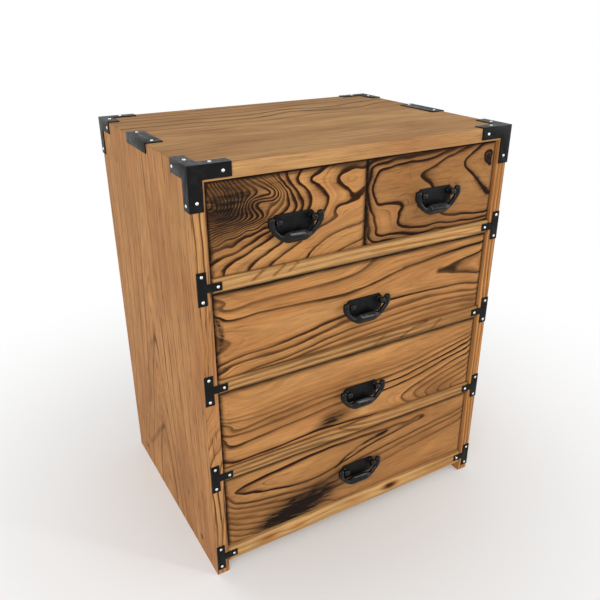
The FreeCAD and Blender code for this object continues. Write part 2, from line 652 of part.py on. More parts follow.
def write_pieces(finished):
    """Check every object of the document, then write each piece to its own file."""
    for thing in doc.Objects:
        if "Invalid" in thing.State or "Error" in thing.State:
            raise RuntimeError(f"{thing.Name} failed: {thing.State}")
    for label, whole in finished.items():
        if whole.Shape.isNull() or not whole.Shape.isValid():
            raise RuntimeError(f"{label} has no valid shape")
    os.makedirs("parts", exist_ok=True)
    for label, whole in finished.items():
        whole.Shape.exportStep(f"parts/{label}.step")
        print(f"{label}: {len(whole.Shape.Solids)} solid(s), {whole.Shape.Volume:.1f} mm3")


fill_sheet()
make_case()
make_drawers()
make_fittings()
pieces = finish_pieces()
doc.recompute()
write_pieces(pieces)
print(f"{len(pieces)} pieces")
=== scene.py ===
"""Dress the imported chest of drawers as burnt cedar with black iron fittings.

Sizes are in millimetres until a mesh is made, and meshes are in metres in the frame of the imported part.
"""
import logging
import math
from dataclasses import dataclass, field
from enum import Enum

import bmesh
import bpy
import numpy as np
from mathutils import Matrix, Vector


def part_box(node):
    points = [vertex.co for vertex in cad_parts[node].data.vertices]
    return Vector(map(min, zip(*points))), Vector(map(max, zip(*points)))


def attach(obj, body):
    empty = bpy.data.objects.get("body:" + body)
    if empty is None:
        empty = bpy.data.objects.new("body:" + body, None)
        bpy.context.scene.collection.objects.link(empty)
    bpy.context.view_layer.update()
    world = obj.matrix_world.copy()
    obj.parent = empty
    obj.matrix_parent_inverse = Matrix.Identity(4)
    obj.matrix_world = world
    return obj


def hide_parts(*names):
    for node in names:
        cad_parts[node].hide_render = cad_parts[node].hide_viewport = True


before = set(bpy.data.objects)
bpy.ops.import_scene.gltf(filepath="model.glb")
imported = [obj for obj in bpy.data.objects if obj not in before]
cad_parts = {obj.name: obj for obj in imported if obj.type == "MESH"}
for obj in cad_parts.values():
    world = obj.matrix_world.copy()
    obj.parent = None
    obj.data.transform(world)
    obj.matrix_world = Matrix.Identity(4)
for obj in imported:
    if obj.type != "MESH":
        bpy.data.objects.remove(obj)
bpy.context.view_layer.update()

# One millimetre in metres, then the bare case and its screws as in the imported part, in millimetres.
MM = 0.001
FRONT = -115.2
HALF_WIDTH = 160.0
HEIGHT = 400.0
DEPTH = 240.0
BOARD = 12.5
SCREW_LEVEL = 17.5
SCREW_DEPTHS = (38.0, 208.0)
# Parts of the noise's range, from 0 to 1, over which the finishes fade.
NARROW = (0.3, 0.7)
MEDIUM = (0.25, 0.75)
WIDE = (0.2, 0.8)

Point = tuple[float, float]
Place = tuple[float, float, float]
Spot = tuple[Place, Place]
Colour = tuple[float, float, float]
Socket = bpy.types.NodeSocket
Finish = bpy.types.Material
Piece = bpy.types.Object

log = logging.getLogger("chest")


class Grain(Enum):
    """The axis that a board's fibres follow, in the order of the axes."""

    ALONG_X = "x"
    ALONG_Y = "y"
    ALONG_Z = "z"


class Cut(Enum):
    """How a cedar board is cut and shows its lines."""

    LEVEL = "level"
    # Level, with a greyer colour that holds painted sheen.
    FADED_LEVEL = "faded level"
    QUIET_UPRIGHT = "quiet upright"
    BOLD_UPRIGHT = "bold upright"


class Face(Enum):
    """The face of the chest on which a board's figure is read."""

    FRONT = "front"
    LEFT = "left"
    RIGHT = "right"
    TOP = "top"
    REAR = "rear"


def eased(share: np.ndarray | float) -> np.ndarray | float:
    """Ease a share between 0 and 1 in and out."""
    return share * share * (3.0 - 2.0 * share)


class Line:
    """One dark late-wood line, read off the board."""

    def __init__(self, ring: float, *points: Point) -> None:
        """Note the line.

        Args:
            ring: The line's number, counted across the board.
            points: Places that it passes, as (across, down) in millimetres on the board's face.
        """
        self.ring = ring
        self.points = points


Figure = tuple[Line, ...]


@dataclass(frozen=True)
class Scorch:
    """A soft patch that is burnt darker, or where negative left paler, than its board."""

    centre: Point
    reach: Point
    depth: float
    turn: float = 0.0

    def at(self, across: np.ndarray, down: np.ndarray) -> np.ndarray:
        """Give the patch's depth at some places.

        Args:
            across: Millimetres across the face.
            down: Millimetres down the face.

        Returns:
            The depth at each place, zero outside the patch.
        """
        turn = math.radians(self.turn)
        right = across - self.centre[0]
        below = down - self.centre[1]
        along = (right * math.cos(turn) + below * math.sin(turn)) / self.reach[0]
        over = (below * math.cos(turn) - right * math.sin(turn)) / self.reach[1]
        near = np.clip(1.0 - np.hypot(along, over), 0.0, 1.0)
        return self.depth * eased(near)


@dataclass(frozen=True)
class Streak:
    """A narrow burnt streak along a few points of a face."""

    points: tuple[Point, ...]
    width: float
    depth: float

    def at(self, across: np.ndarray, down: np.ndarray) -> np.ndarray:
        """Give the streak's depth at some places.

        Args:
            across: Millimetres across the face.
            down: Millimetres down the face.

        Returns:
            The depth at each place, zero away from the streak.
        """
        nearest = np.full(across.shape, 1e9)
        for (a0, b0), (a1, b1) in zip(self.points, self.points[1:]):
            run = max((a1 - a0) ** 2 + (b1 - b0) ** 2, 1e-6)
            share = np.clip(((across - a0) * (a1 - a0) + (down - b0) * (b1 - b0)) / run, 0.0, 1.0)
            away = np.hypot(across - a0 - share * (a1 - a0), down - b0 - share * (b1 - b0))
            nearest = np.minimum(nearest, away)
        near = np.clip(1.0 - nearest / self.width, 0.0, 1.0)
        return self.depth * eased(near)


class GrainField:
    """A smooth ring number over a face, through a board's grain lines.

    The ring number is a thin-plate spline, drawn out along the fibres so that lines stay smooth that way.
    """

    UNIT = 50.0
    GIVE = 2e-4
    BLOCK = 8000

    def __init__(self, lines: Figure, stretch: Point) -> None:
        """Solve the spline.

        Args:
            lines: The lines that it passes.
            stretch: How far a place reaches across and down the face, compared with each other.
        """
        self.stretch = np.array(stretch)
        places = np.array([place for line in lines for place in line.points], float)
        self.knots = places / (self.UNIT * self.stretch)
        rings = np.array([line.ring for line in lines for _ in line.points], float)
        count = len(rings)
        gap = np.linalg.norm(self.knots[:, None] - self.knots[None], axis=2)
        bend = gap * gap * np.log(np.maximum(gap, 1e-9)) + self.GIVE * np.eye(count)
        flat = np.c_[np.ones(count), self.knots]
        system = np.block([[bend, flat], [flat.T, np.zeros((3, 3))]])
        self.weights = np.linalg.solve(system, np.r_[rings, np.zeros(3)])

    def at(self, across: np.ndarray, down: np.ndarray) -> tuple[np.ndarray, np.ndarray, np.ndarray]:
        """Give the ring number and its slope at some places.

        Args:
            across: Millimetres across the face.
            down: Millimetres down the face.

        Returns:
            The ring number, and its change per millimetre across and down.
        """
        places = np.c_[across, down] / (self.UNIT * self.stretch)
        count = len(self.knots)
        pull, lift = self.weights[:count], self.weights[count:]
        parts = []
        for block in np.array_split(places, max(1, len(places) // self.BLOCK)):
            away = block[:, None, :] - self.knots[None]
            square = np.maximum((away ** 2).sum(axis=2), 1e-12)
            stem = np.log(square)
            ring = (0.5 * square * stem) @ pull + lift[0] + block @ lift[1:]
            slope = [((stem + 1.0) * away[..., i]) @ pull + lift[1 + i] for i in (0, 1)]
            parts.append(np.stack([ring, *slope]))
        ring, across, down = np.concatenate(parts, axis=1)
        return ring, across / (self.UNIT * self.stretch[0]), down / (self.UNIT * self.stretch[1])


class Wiring:
    """A node tree, with short calls that add nodes and join them."""

    def __init__(self, tree: bpy.types.NodeTree) -> None:
        """Take up the tree that the nodes go into."""
        self.tree = tree

    def node(self, kind: str, inputs: dict | None = None, **settings: object) -> bpy.types.Node:
        """Add a node.

        Args:
            kind: Blender's name for the node's type.
            inputs: Sockets to join or values to set, by the socket's name or number.
            settings: The node's own settings.

        Returns:
            The new node.
        """
        made = self.tree.nodes.new(kind)
        for key, value in settings.items():
            setattr(made, key, value)
        for key, value in (inputs or {}).items():
            self.put(made.inputs[key], value)
        return made

    def put(self, socket: Socket, value: object) -> None:
        """Join a socket to another, or set its value.

        Args:
            socket: The socket that takes the value.
            value: An output socket, a node for its first one, a number, a vector, a colour or a material.
        """
        if isinstance(value, bpy.types.Node):
            value = value.outputs[0]
        if isinstance(value, Socket):
            self.tree.links.new(value, socket)
        elif socket.type == "RGBA":
            socket.default_value = (*value, 1.0)
        else:
            socket.default_value = value

    def math(
        self, sort: str, first: object, second: object = 0.0, third: object = 0.0, clamp: bool = False
    ) -> Socket:
        """Give the result of one sum of values or sockets, kept between 0 and 1 if clamped."""
        inputs = {0: first, 1: second, 2: third}
        return self.node("ShaderNodeMath", inputs, operation=sort, use_clamp=clamp).outputs[0]

    def times(self, first: object, second: object, clamp: bool = False) -> Socket:
        """Give the product of two values or sockets, kept between 0 and 1 if clamped."""
        return self.math("MULTIPLY", first, second, clamp=clamp)

    def most(self, first: object, *others: object) -> Socket:
        """Give the largest of some values or sockets."""
        for other in others:
            first = self.math("MAXIMUM", first, other)
        return first

    def seen(self) -> Socket:
        """Tell the rays that the camera sees by from those that only light the scene.

        Returns:
            A socket that is 1 for what is seen straight, mirrored or through glass, and else 0.
        """
        path = self.node("ShaderNodeLightPath").outputs
        return self.most(path["Is Camera Ray"], path["Is Glossy Ray"], path["Is Transmission Ray"])


class Bench(Wiring):
    """A material's node tree, with short calls for the nodes that the finishes share."""

    def __init__(self, name: str) -> None:
        """Start an empty finish around its shader.

        Args:
            name: The material's name.
        """
        self.material = bpy.data.materials.new(name)
        self.material.use_nodes = True
        super().__init__(self.material.node_tree)
        self.shader = self.tree.nodes["Principled BSDF"]

    def set(self, **values: object) -> None:
        """Set the shader's own sockets, with underscores for the spaces in their names."""
        for key, value in values.items():
            self.put(self.shader.inputs[key.replace("_", " ")], value)

    def places(self, scale: Place) -> Socket:
        """Give Object coordinates in metres, stretched along each axis."""
        source = self.node("ShaderNodeTexCoord").outputs["Object"]
        return self.node("ShaderNodeMapping", {"Vector": source, "Scale": scale}).outputs["Vector"]

    def noise(self, places: Socket, detail: float = 2.0, rough: float = 0.5) -> Socket:
        """Give soft noise between 0 and 1 at some places, with finer layers as rough as told."""
        inputs = {"Vector": places, "Scale": 1.0, "Detail": detail, "Roughness": rough}
        return self.node("ShaderNodeTexNoise", inputs).outputs["Fac"]

    def mottle(self, scale: float, detail: float = 2.0, rough: float = 0.5) -> Socket:
        """Give noise that is alike along every axis, with a scale per metre."""
        return self.noise(self.places((scale, scale, scale)), detail, rough)

    def fibres(
        self, grain: Grain, along: float, over: float, detail: float = 2.0, rough: float = 0.5
    ) -> Socket:
        """Give noise that is drawn out along a board's fibres, with scales along and over them."""
        scale = tuple(along if axis is grain else over for axis in Grain)
        return self.noise(self.places(scale), detail, rough)

    def fade(
        self, value: object, start: float, end: float, low: float = 0.0, high: float = 1.0
    ) -> Socket:
        """Ease from a low to a high value, or the other way, as a value goes from start to end."""
        inputs = {"Value": value, "From Min": start, "From Max": end, "To Min": low, "To Max": high}
        return self.node("ShaderNodeMapRange", inputs, interpolation_type="SMOOTHSTEP").outputs["Result"]

    def mix(self, share: object, first: object, second: object, blend: str = "MIX") -> Socket:
        """Mix two colours, with a share of the second."""
        inputs = {0: share, 6: first, 7: second}
        return self.node("ShaderNodeMix", inputs, data_type="RGBA", blend_type=blend).outputs[2]

    def dimmed(self, colour: Socket, grey: Socket) -> Socket:
        """Multiply a colour by a grey value."""
        tone = self.node("ShaderNodeCombineColor", {0: grey, 1: grey, 2: grey}).outputs[0]
        return self.mix(1.0, colour, tone, "MULTIPLY")

    def bump(self, height: Socket, strength: float, distance: float) -> None:
        """Give the shader a fine relief, whose height has a unit of some distance in metres."""
        inputs = {"Height": height, "Strength": strength, "Distance": distance}
        self.set(Normal=self.node("ShaderNodeBump", inputs).outputs["Normal"])

    def attribute(self, name: str) -> Socket:
        """Give one of the piece's own attributes as a value socket."""
        return self.node("ShaderNodeAttribute", attribute_name=name).outputs["Fac"]


@dataclass(frozen=True)
class BurntCedar:
    """Burnt and brushed cedar: honey early wood between dark ridged late-wood lines."""

    name: str
    grain: Grain
    honey: Colour = (0.53, 0.256, 0.088)
    amber: Colour = (0.42, 0.187, 0.062)
    russet: Colour = (0.36, 0.136, 0.050)
    line: Colour = (0.033, 0.013, 0.007)
    # The char colour, also used for the painted shade in the gaps round board rims.
    char_and_shade: Colour = (0.016, 0.011, 0.009)
    pale: Colour = (0.62, 0.36, 0.14)
    line_core: float = 1.1
    line_width: float = 3.4
    line_edge: float = 0.8
    shade_width: float = 8.0
    shade_share: float = 0.5
    close_pace: float = 4.4
    waver: float = 1.1
    thread_share: float = 0.45
    fibre: float = 0.13
    fleck_share: float = 0.25
    evenness: Point = (1.2, 0.6)
    relief: float = 0.5
    slow_waver: float = 2.2
    line_rough: float = 0.1
    line_depth: float = 0.8
    ripple: float = 0.3

    def streak(self, bench: Bench, ring: Socket, count: float) -> Socket:
        """Give noise that is drawn out along the grain lines.

        Args:
            bench: The finish's bench.
            ring: The ring number.
            count: How many streaks lie between two lines.

        Returns:
            The noise's value socket.
        """
        apart = bench.node("ShaderNodeSeparateXYZ", {0: bench.places(scale=(18.0, 18.0, 18.0))})
        level = bench.math("ADD", apart.outputs[0], apart.outputs[1])
        inputs = {0: bench.times(ring, count), 1: level, 2: apart.outputs[2]}
        return bench.noise(bench.node("ShaderNodeCombineXYZ", inputs).outputs[0])

    def material(self) -> Finish:
        """Build the finish from the board's own ring, pace, char and bold attributes.

        Returns:
            The material.
        """
        bench = Bench(self.name)
        pace = bench.attribute("pace")
        slow = bench.fibres(self.grain, along=14.0, over=60.0)
        quick = bench.fibres(self.grain, along=60.0, over=420.0)
        fibre = bench.fibres(self.grain, along=55.0, over=1500.0, detail=3.0, rough=0.65)
        cloud = bench.fibres(self.grain, along=7.0, over=26.0)
        fleck = bench.fibres(self.grain, along=45.0, over=700.0, detail=1.0)
        sway = self.slow_waver * self.waver
        drift = bench.math("MULTIPLY_ADD", slow, sway, -0.5 * sway)
        drift = bench.math("ADD", drift, bench.math("MULTIPLY_ADD", quick, self.waver, -0.5 * self.waver))
        ring = bench.math("ADD", bench.attribute("ring"), bench.math("DIVIDE", drift, pace))
        streak = self.streak(bench, ring, count=8.0)
        thread = self.streak(bench, ring, count=15.0)
        thread = bench.fade(thread, start=0.58, end=0.76, high=self.thread_share)
        turn = bench.math("FRACT", ring)
        reach = bench.most(pace, self.close_pace)
        after = bench.times(turn, reach)
        before = bench.math("SUBTRACT", reach, after)
        before = bench.times(before, bench.fade(slow, *NARROW, low=1.5, high=0.7))
        line = bench.fade(before, self.line_core, self.line_core + self.line_width, 1.0, 0.0)
        edge = bench.fade(after, 0.0, self.line_edge, 1.0, 0.0)
        shade = bench.fade(before, 0.0, self.shade_width, self.shade_share, 0.0)
        ridge = bench.most(line, edge, shade, thread)
        patchy = bench.fade(cloud, *NARROW, *self.evenness)
        strength = bench.times(bench.attribute("bold"), patchy)
        dark = bench.times(ridge, strength, clamp=True)
        char = bench.attribute("char")
        brush = bench.fade(streak, *MEDIUM, low=0.65, high=1.25)
        brush = bench.math("ADD", bench.fade(quick, *WIDE, low=-0.3, high=0.3), brush)
        burn = bench.times(char, brush, clamp=True)
        # The rim attribute darkens a board's edges towards char: partly burn, partly painted shade in the
        # gaps round drawers and rails.
        uneven = bench.fade(quick, *WIDE, low=0.85, high=1.1)
        rim = bench.times(bench.attribute("rim"), uneven, clamp=True)
        burn = bench.most(burn, rim)
        spare = bench.times(char, -1.0, clamp=True)
        colour = bench.mix(bench.fade(cloud, *NARROW), self.honey, self.amber)
        colour = bench.mix(bench.fade(slow, start=0.55, end=0.8, high=0.55), colour, self.russet)
        colour = bench.mix(bench.fade(fleck, start=0.6, end=0.72, high=self.fleck_share), colour, self.line)
        colour = bench.mix(spare, colour, self.pale)
        colour = bench.mix(dark, colour, self.line)
        colour = bench.mix(burn, colour, self.char_and_shade)
        low, high = 1.0 - self.fibre, 1.0 + self.fibre
        grey = bench.fade(fibre, *MEDIUM, low, high)
        grey = bench.times(grey, bench.fade(streak, *NARROW, low=0.84, high=1.12))
        colour = bench.dimmed(colour, grey)
        rough = bench.fade(fibre, *WIDE, low=0.53, high=0.67)
        rough = bench.math("ADD", rough, bench.times(dark, self.line_rough))
        height = bench.math("ADD", bench.times(fibre, self.ripple), bench.times(streak, self.ripple))
        height = bench.math("SUBTRACT", height, bench.times(dark, self.line_depth))
        gloss = bench.fade(bench.most(dark, burn), start=0.0, end=1.0, low=0.045, high=0.02)
        bench.set(Base_Color=colour, Roughness=rough, Specular_IOR_Level=gloss)
        bench.bump(height, self.relief, distance=0.0005)
        return bench.material


@dataclass(frozen=True)
class PlanedWood:
    """Plain planed boards and thin ply of the drawer boxes and the back."""

    name: str
    grain: Grain
    light: Colour = (0.60, 0.42, 0.235)
    deep: Colour = (0.44, 0.28, 0.14)
    bands: float = 130.0
    contrast: float = 0.5
    broad: float = 0.15

    def material(self) -> Finish:
        """Build the finish from Object coordinates.

        Returns:
            The material.
        """
        bench = Bench(self.name)
        fibre = bench.fibres(self.grain, along=40.0, over=1400.0, detail=3.0, rough=0.6)
        bands = bench.fibres(self.grain, along=7.0, over=self.bands, detail=3.0)
        flecks = bench.fibres(self.grain, along=160.0, over=2600.0, detail=1.0)
        wide = bench.fibres(self.grain, along=1.5, over=16.0, detail=1.0)
        share = bench.fade(bands, start=0.35, end=0.68, high=self.contrast)
        broad = bench.fade(wide, start=0.35, end=0.65, high=self.broad)
        share = bench.math("ADD", share, broad, clamp=True)
        colour = bench.mix(share, self.light, self.deep)
        colour = bench.mix(bench.fade(flecks, start=0.62, end=0.74, high=0.35), colour, self.deep)
        colour = bench.dimmed(colour, bench.fade(fibre, *MEDIUM, low=0.88, high=1.08))
        rough = bench.fade(fibre, *WIDE, low=0.55, high=0.7)
        bench.set(Base_Color=colour, Roughness=rough, Specular_IOR_Level=0.3)
        bench.bump(fibre, strength=0.25, distance=0.0003)
        return bench.material


@dataclass(frozen=True)
class BlackIron:
    """Thin iron, blackened and rubbed to a dull satin."""

    name: str
    black: Colour = (0.005, 0.005, 0.005)
    worn: Colour = (0.010, 0.010, 0.010)
    gloss: float = 0.32
    sheen: float = 0.11
    grain: float = 0.35
    spread: float = 0.16
    grit_rough: float = 0.08
    blotch_height: float = 0.6
    grit_height: float = 0.15

    def material(self) -> Finish:
        """Build the finish from Object coordinates.

        Returns:
            The material.
        """
        bench = Bench(self.name)
        blotch = bench.mottle(scale=160.0, detail=4.0, rough=0.6)
        grit = bench.mottle(scale=1500.0)
        share = bench.fade(blotch, start=0.45, end=0.7)
        bench.set(Base_Color=bench.mix(share, self.black, self.worn), Specular_IOR_Level=self.sheen)
        rough = bench.fade(blotch, *NARROW, self.gloss, self.gloss + self.spread)
        bench.set(Roughness=bench.math("MULTIPLY_ADD", grit, self.grit_rough, rough))
        height = bench.times(grit, self.grit_height)
        height = bench.math("MULTIPLY_ADD", blotch, self.blotch_height, height)
        bench.bump(height, self.grain, distance=0.0004)
        return bench.material


@dataclass(frozen=True)
class NailSteel:
    """The bare steel of nail heads and of dark screws, dulled unevenly."""

    name: str
    clean: Colour
    dull: Colour
    rough: float = 0.24
    spread: float = 0.18

    def material(self) -> Finish:
        """Build the finish from Object coordinates.

        Returns:
            The material.
        """
        bench = Bench(self.name)
        dulled = bench.mottle(scale=700.0)
        share = bench.fade(dulled, start=0.4, end=0.7)
        bench.set(Base_Color=bench.mix(share, self.clean, self.dull), Metallic=1.0)
        bench.set(Roughness=bench.fade(dulled, *NARROW, self.rough, self.rough + self.spread))
        bench.bump(dulled, strength=0.15, distance=0.0002)
        return bench.material


def added(name: str, data: bpy.types.ID) -> Piece:
    """Put something into the scene as an object at the origin.

    Args:
        name: The object's name.
        data: Its mesh, lamp or lens.

    Returns:
        The object.
    """
    made = bpy.data.objects.new(name, data)
    bpy.context.scene.collection.objects.link(made)
    return made


def piece_from(name: str, points: np.ndarray, faces: list) -> Piece:
    """Make a mesh object from points in millimetres.

    Args:
        name: The piece's name.
        points: The points, one row each.
        faces: The faces, as point numbers that turn anticlockwise seen from outside.

    Returns:
        The object, at the origin.
    """
    mesh = bpy.data.meshes.new(name)
    mesh.from_pydata((points * MM).tolist(), [], faces)
    mesh.update()
    return added(name, mesh)


def settle(piece: Piece) -> Piece:
    """Turn a piece's modifiers into plain mesh and remove them.

    Args:
        piece: The piece with its modifiers.

    Returns:
        The same object with its final mesh.
    """
    graph = bpy.context.evaluated_depsgraph_get()
    final = bpy.data.meshes.new_from_object(piece.evaluated_get(graph), depsgraph=graph)
    piece.modifiers.clear()
    old = piece.data
    piece.data = final
    bpy.data.meshes.remove(old)
    final.name = piece.name
    return piece


def smooth(piece: Piece, angle: float) -> None:
    """Shade a piece smoothly, with sharp edges kept.

    Args:
        piece: The piece.
        angle: The angle in degrees past which an edge stays sharp.
    """
    mesh = piece.data
    mesh.polygons.foreach_set("use_smooth", np.ones(len(mesh.polygons), bool))
    mesh.set_sharp_from_angle(angle=math.radians(angle))
    mesh.update()


def soften(piece: Piece, width: float, segments: int, angle: float) -> Piece:
    """Round a piece's sharp edges and shade it.

    Args:
        piece: The piece.
        width: The width of the rounded edges in millimetres.
        segments: How many faces go round an edge.
        angle: The angle in degrees past which an edge is rounded.

    Returns:
        The same piece.
    """
    edge = piece.modifiers.new("edge", "BEVEL")
    edge.width = width * MM
    edge.segments = segments
    edge.limit_method = "ANGLE"
    edge.angle_limit = math.radians(angle)
    settle(piece)
    smooth(piece, angle=35.0)
    return piece


def fit_out(piece: Piece, body: str, slot: str, finish: Finish, *nodes: str) -> None:
    """Give a piece its finish, its body and the nodes that it stands for.

    Args:
        piece: The finished piece.
        body: The body that it rides on.
        slot: The record's material slot; not used.
        finish: Its material.
        nodes: The nodes that it replaces.
    """
    piece.data.materials.clear()
    piece.data.materials.append(finish)
    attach(piece, body)
    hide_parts(*nodes)
    log.info("%s rides on %s with %d faces", piece.name, body, len(piece.data.polygons))


def lattice(low: float, high: float, step: float, band: tuple[float, ...]) -> np.ndarray:
    """Give places along one axis, with the same closer ones at both ends.

    Args:
        low: The lowest place.
        high: The highest place.
        step: The usual gap.
        band: Distances from each end that must be among the places.

    Returns:
        The places in order.
    """
    inset = band[-1]
    count = max(1, round((high - low - 2.0 * inset) / step))
    middle = np.linspace(low + inset, high - inset, count + 1)
    ends = [low + reach for reach in band] + [high - reach for reach in band]
    return np.unique(np.round(np.r_[ends, middle], 4))


@dataclass
class Board:
    """One cedar board with the grain figure of its seen face.

    Attributes:
        node: The node that it replaces.
        body: The body that it rides on.
        face: The face of the chest that shows its figure.
        low: Its lowest corner in millimetres.
        high: Its highest corner.
        lines: Its grain lines.
        stretch: How far the figure runs across and down its face.
        bold: Ring numbers and how strongly their lines show, in rising order.
        along: How much of that strength a line keeps where it runs with the fibres; where it crosses them
            it keeps all of it, as painted shade under its ridge.
        tone: How burnt the whole board is.
        scorches: Its darker and paler patches and streaks.
        steps: The gaps between mesh points along each axis.
        radius: How far its edges are rounded.
        bevel: The width and depth of the bevel round its front.
        mitre: Whether its upper or side edges are cut to 45 degrees.
        wells: Screw wells as (centre, axis) in millimetres.
        edge_rings: How many lines cross each millimetre of its edges.
        burn: How deeply the rim of its face is darkened, partly as burn and partly as painted shade in the
            gaps round it.
        rim: How wide that darkened rim is.
        rim_shares: How much of that darkening the sides, the top and the bottom get.
        edge_lines: The grain lines of a side panel's front edge, as (into the board, down).
    """

    node: str
    body: str
    face: Face
    low: Place
    high: Place
    lines: Figure
    stretch: Point = (1.0, 1.0)
    bold: tuple[Point, ...] = ((0.0, 1.0),)
    along: float = 1.0
    tone: float = 0.0
    scorches: tuple[Scorch | Streak, ...] = ()
    steps: Place = (2.0, 2.0, 2.0)
    radius: float = 0.7
    bevel: Point | None = None
    mitre: bool = False
    wells: tuple[tuple[Place, int], ...] = ()
    edge_rings: float = 0.22
    burn: float = 0.0
    rim: float = 5.0
    rim_shares: Place = (1.0, 1.0, 1.0)
    edge_lines: Figure = ()

    ROUND_SHARES = (0.0, 0.3, 0.65, 1.0)
    BEVEL_SHARES = (0.3, 0.5, 0.75, 1.0)
    WELL_RADIUS = 3.5
    WELL_DEPTH = 1.5
    # How far into the board the rim's burn and painted gap shade reach, and the share left further in.
    RIM_BURN_AND_SHADE_REACH = 7.0
    RIM_BURN_AND_SHADE_LEFT = 0.1
    FLAT_ANGLE = 30.0
    BEVEL_ANGLE = 12.0
    EDGE_START = 1.0
    EDGE_RUN = 2.0
    EDGE_FADE = 0.45
    EDGE_SKIN = 0.3
    EDGE_STRETCH = (1.0, 2.0)
    EDGE_BOLD = 0.55
    PACES = (1.0, 26.0)

    def build(self) -> Piece:
        """Make the board's mesh with its figure stored on the points.

        Returns:
            The board's object.
        """
        points, faces = self.shell()
        points = self.rounded(points)
        if self.mitre:
            points = self.mitred(points)
        if self.bevel:
            points = self.bevelled(points)
        board = piece_from(f"{self.node}_board", points, faces)
        for centre, axis in self.wells:
            self.sink(board, centre, axis)
        self.figure(board)
        smooth(board, self.BEVEL_ANGLE if self.bevel else self.FLAT_ANGLE)
        return board

    def bands(self) -> tuple[float, ...]:
        """Choose where the mesh has lines near an edge.

        Returns:
            Their distances from the edge.
        """
        fine = tuple(share * self.radius for share in self.ROUND_SHARES)
        if not self.bevel:
            return fine
        return fine + tuple(share * self.bevel[0] for share in self.BEVEL_SHARES)

    def shell(self) -> tuple[np.ndarray, list]:
        """Make the board as a plain box of small faces.

        Returns:
            Its points in millimetres, and its faces.
        """
        places = []
        for axis in range(3):
            band = self.bands()[:len(self.ROUND_SHARES)] if axis == 1 else self.bands()
            places.append(lattice(self.low[axis], self.high[axis], self.steps[axis], band))
        shape = tuple(len(line) for line in places)
        grid = np.stack(np.meshgrid(*places, indexing="ij"), axis=-1)
        skin = np.ones(shape, bool)
        skin[1:-1, 1:-1, 1:-1] = False
        number = np.full(shape, -1)
        number[skin] = np.arange(skin.sum())
        faces: list = []
        for axis in range(3):
            for side in (0, -1):
                sheet = np.take(number, side, axis=axis)
                quads = np.stack([sheet[:-1, :-1], sheet[1:, :-1], sheet[1:, 1:], sheet[:-1, 1:]], axis=-1)
                flip = (side == 0) != (axis == 1)
                if self.bevel and axis == 1 and side == 0:
                    faces += self.cornered(quads)
                    continue
                flat = quads.reshape(-1, 4)
                faces += (flat[:, ::-1] if flip else flat).tolist()
        return grid[skin], faces

    def cornered(self, quads: np.ndarray) -> list:
        """Split a bevelled front's corner faces along the mitre of its bevel.

        Args:
            quads: The front's faces, by column and row.

        Returns:
            The front's faces.
        """
        faces: list = []
        columns, rows = quads.shape[:2]
        reach = len(self.bands()) - 1
        for column in range(columns):
            for row in range(rows):
                a, b, c, d = quads[column, row].tolist()
                left, down = column, row
                right, up = columns - 1 - column, rows - 1 - row
                if min(left, right) != min(down, up) or min(left, right) >= reach:
                    faces.append([a, b, c, d])
                elif (left < right) == (down < up):
                    faces += [[a, b, c], [a, c, d]]
                else:
                    faces += [[a, b, d], [b, c, d]]
        return faces

    def rounded(self, points: np.ndarray) -> np.ndarray:
        """Round the box's edges.

        Args:
            points: The box's points.

        Returns:
            The points, drawn in at the edges.
        """
        core = np.clip(points, np.add(self.low, self.radius), np.subtract(self.high, self.radius))
        out = points - core
        reach = np.linalg.norm(out, axis=1, keepdims=True)
        return core + out * self.radius / np.maximum(reach, 1e-9)

    def mitred(self, points: np.ndarray) -> np.ndarray:
        """Cut the joint between the top and the sides to 45 degrees.

        Args:
            points: The board's points.

        Returns:
            The points, with the inner ones drawn back at the joint.
        """
        moved = points.copy()
        if self.face is Face.TOP:
            near = np.clip((np.abs(points[:, 0]) - HALF_WIDTH + BOARD) / BOARD, 0.0, 1.0)
            moved[:, 0] -= np.sign(points[:, 0]) * (HEIGHT - points[:, 2]) * near
        else:
            near = np.clip((points[:, 2] - HEIGHT + BOARD) / BOARD, 0.0, 1.0)
            moved[:, 2] -= (HALF_WIDTH - np.abs(points[:, 0])) * near
        return moved

    def bevelled(self, points: np.ndarray) -> np.ndarray:
        """Slope the front's border back all round.

        Args:
            points: The board's points.

        Returns:
            The points, with the border's set back.
        """
        width, depth = self.bevel
        inset = np.minimum(points - self.low, np.subtract(self.high, points))[:, (0, 2)].min(axis=1)
        share = np.clip(1.0 - inset / width, 0.0, 1.0)
        front = np.clip((self.high[1] - points[:, 1]) / (self.high[1] - self.low[1]), 0.0, 1.0)
        moved = points.copy()
        moved[:, 1] += depth * share * front
        return moved

    def singed_and_shaded(self, points: np.ndarray) -> np.ndarray:
        """Darken the rim of a board's face, partly as burn and partly as painted shade in the gaps round
        it.

        Args:
            points: The board's points in millimetres.

        Returns:
            The depth of the darkening at each point.
        """
        sides = np.minimum(points[:, 0] - self.low[0], self.high[0] - points[:, 0])
        insets = (sides, self.high[2] - points[:, 2], points[:, 2] - self.low[2])
        behind = points[:, 1] - self.low[1] - (self.bevel[1] if self.bevel else 0.0)
        fade = np.clip(1.0 - behind / self.RIM_BURN_AND_SHADE_REACH, self.RIM_BURN_AND_SHADE_LEFT, 1.0)
        burn = np.zeros(len(points))
        for inset, share in zip(insets, self.rim_shares):
            near = np.clip(1.0 - inset / self.rim, 0.0, 1.0)
            burn = np.maximum(burn, self.burn * share * eased(near))
        return burn * fade

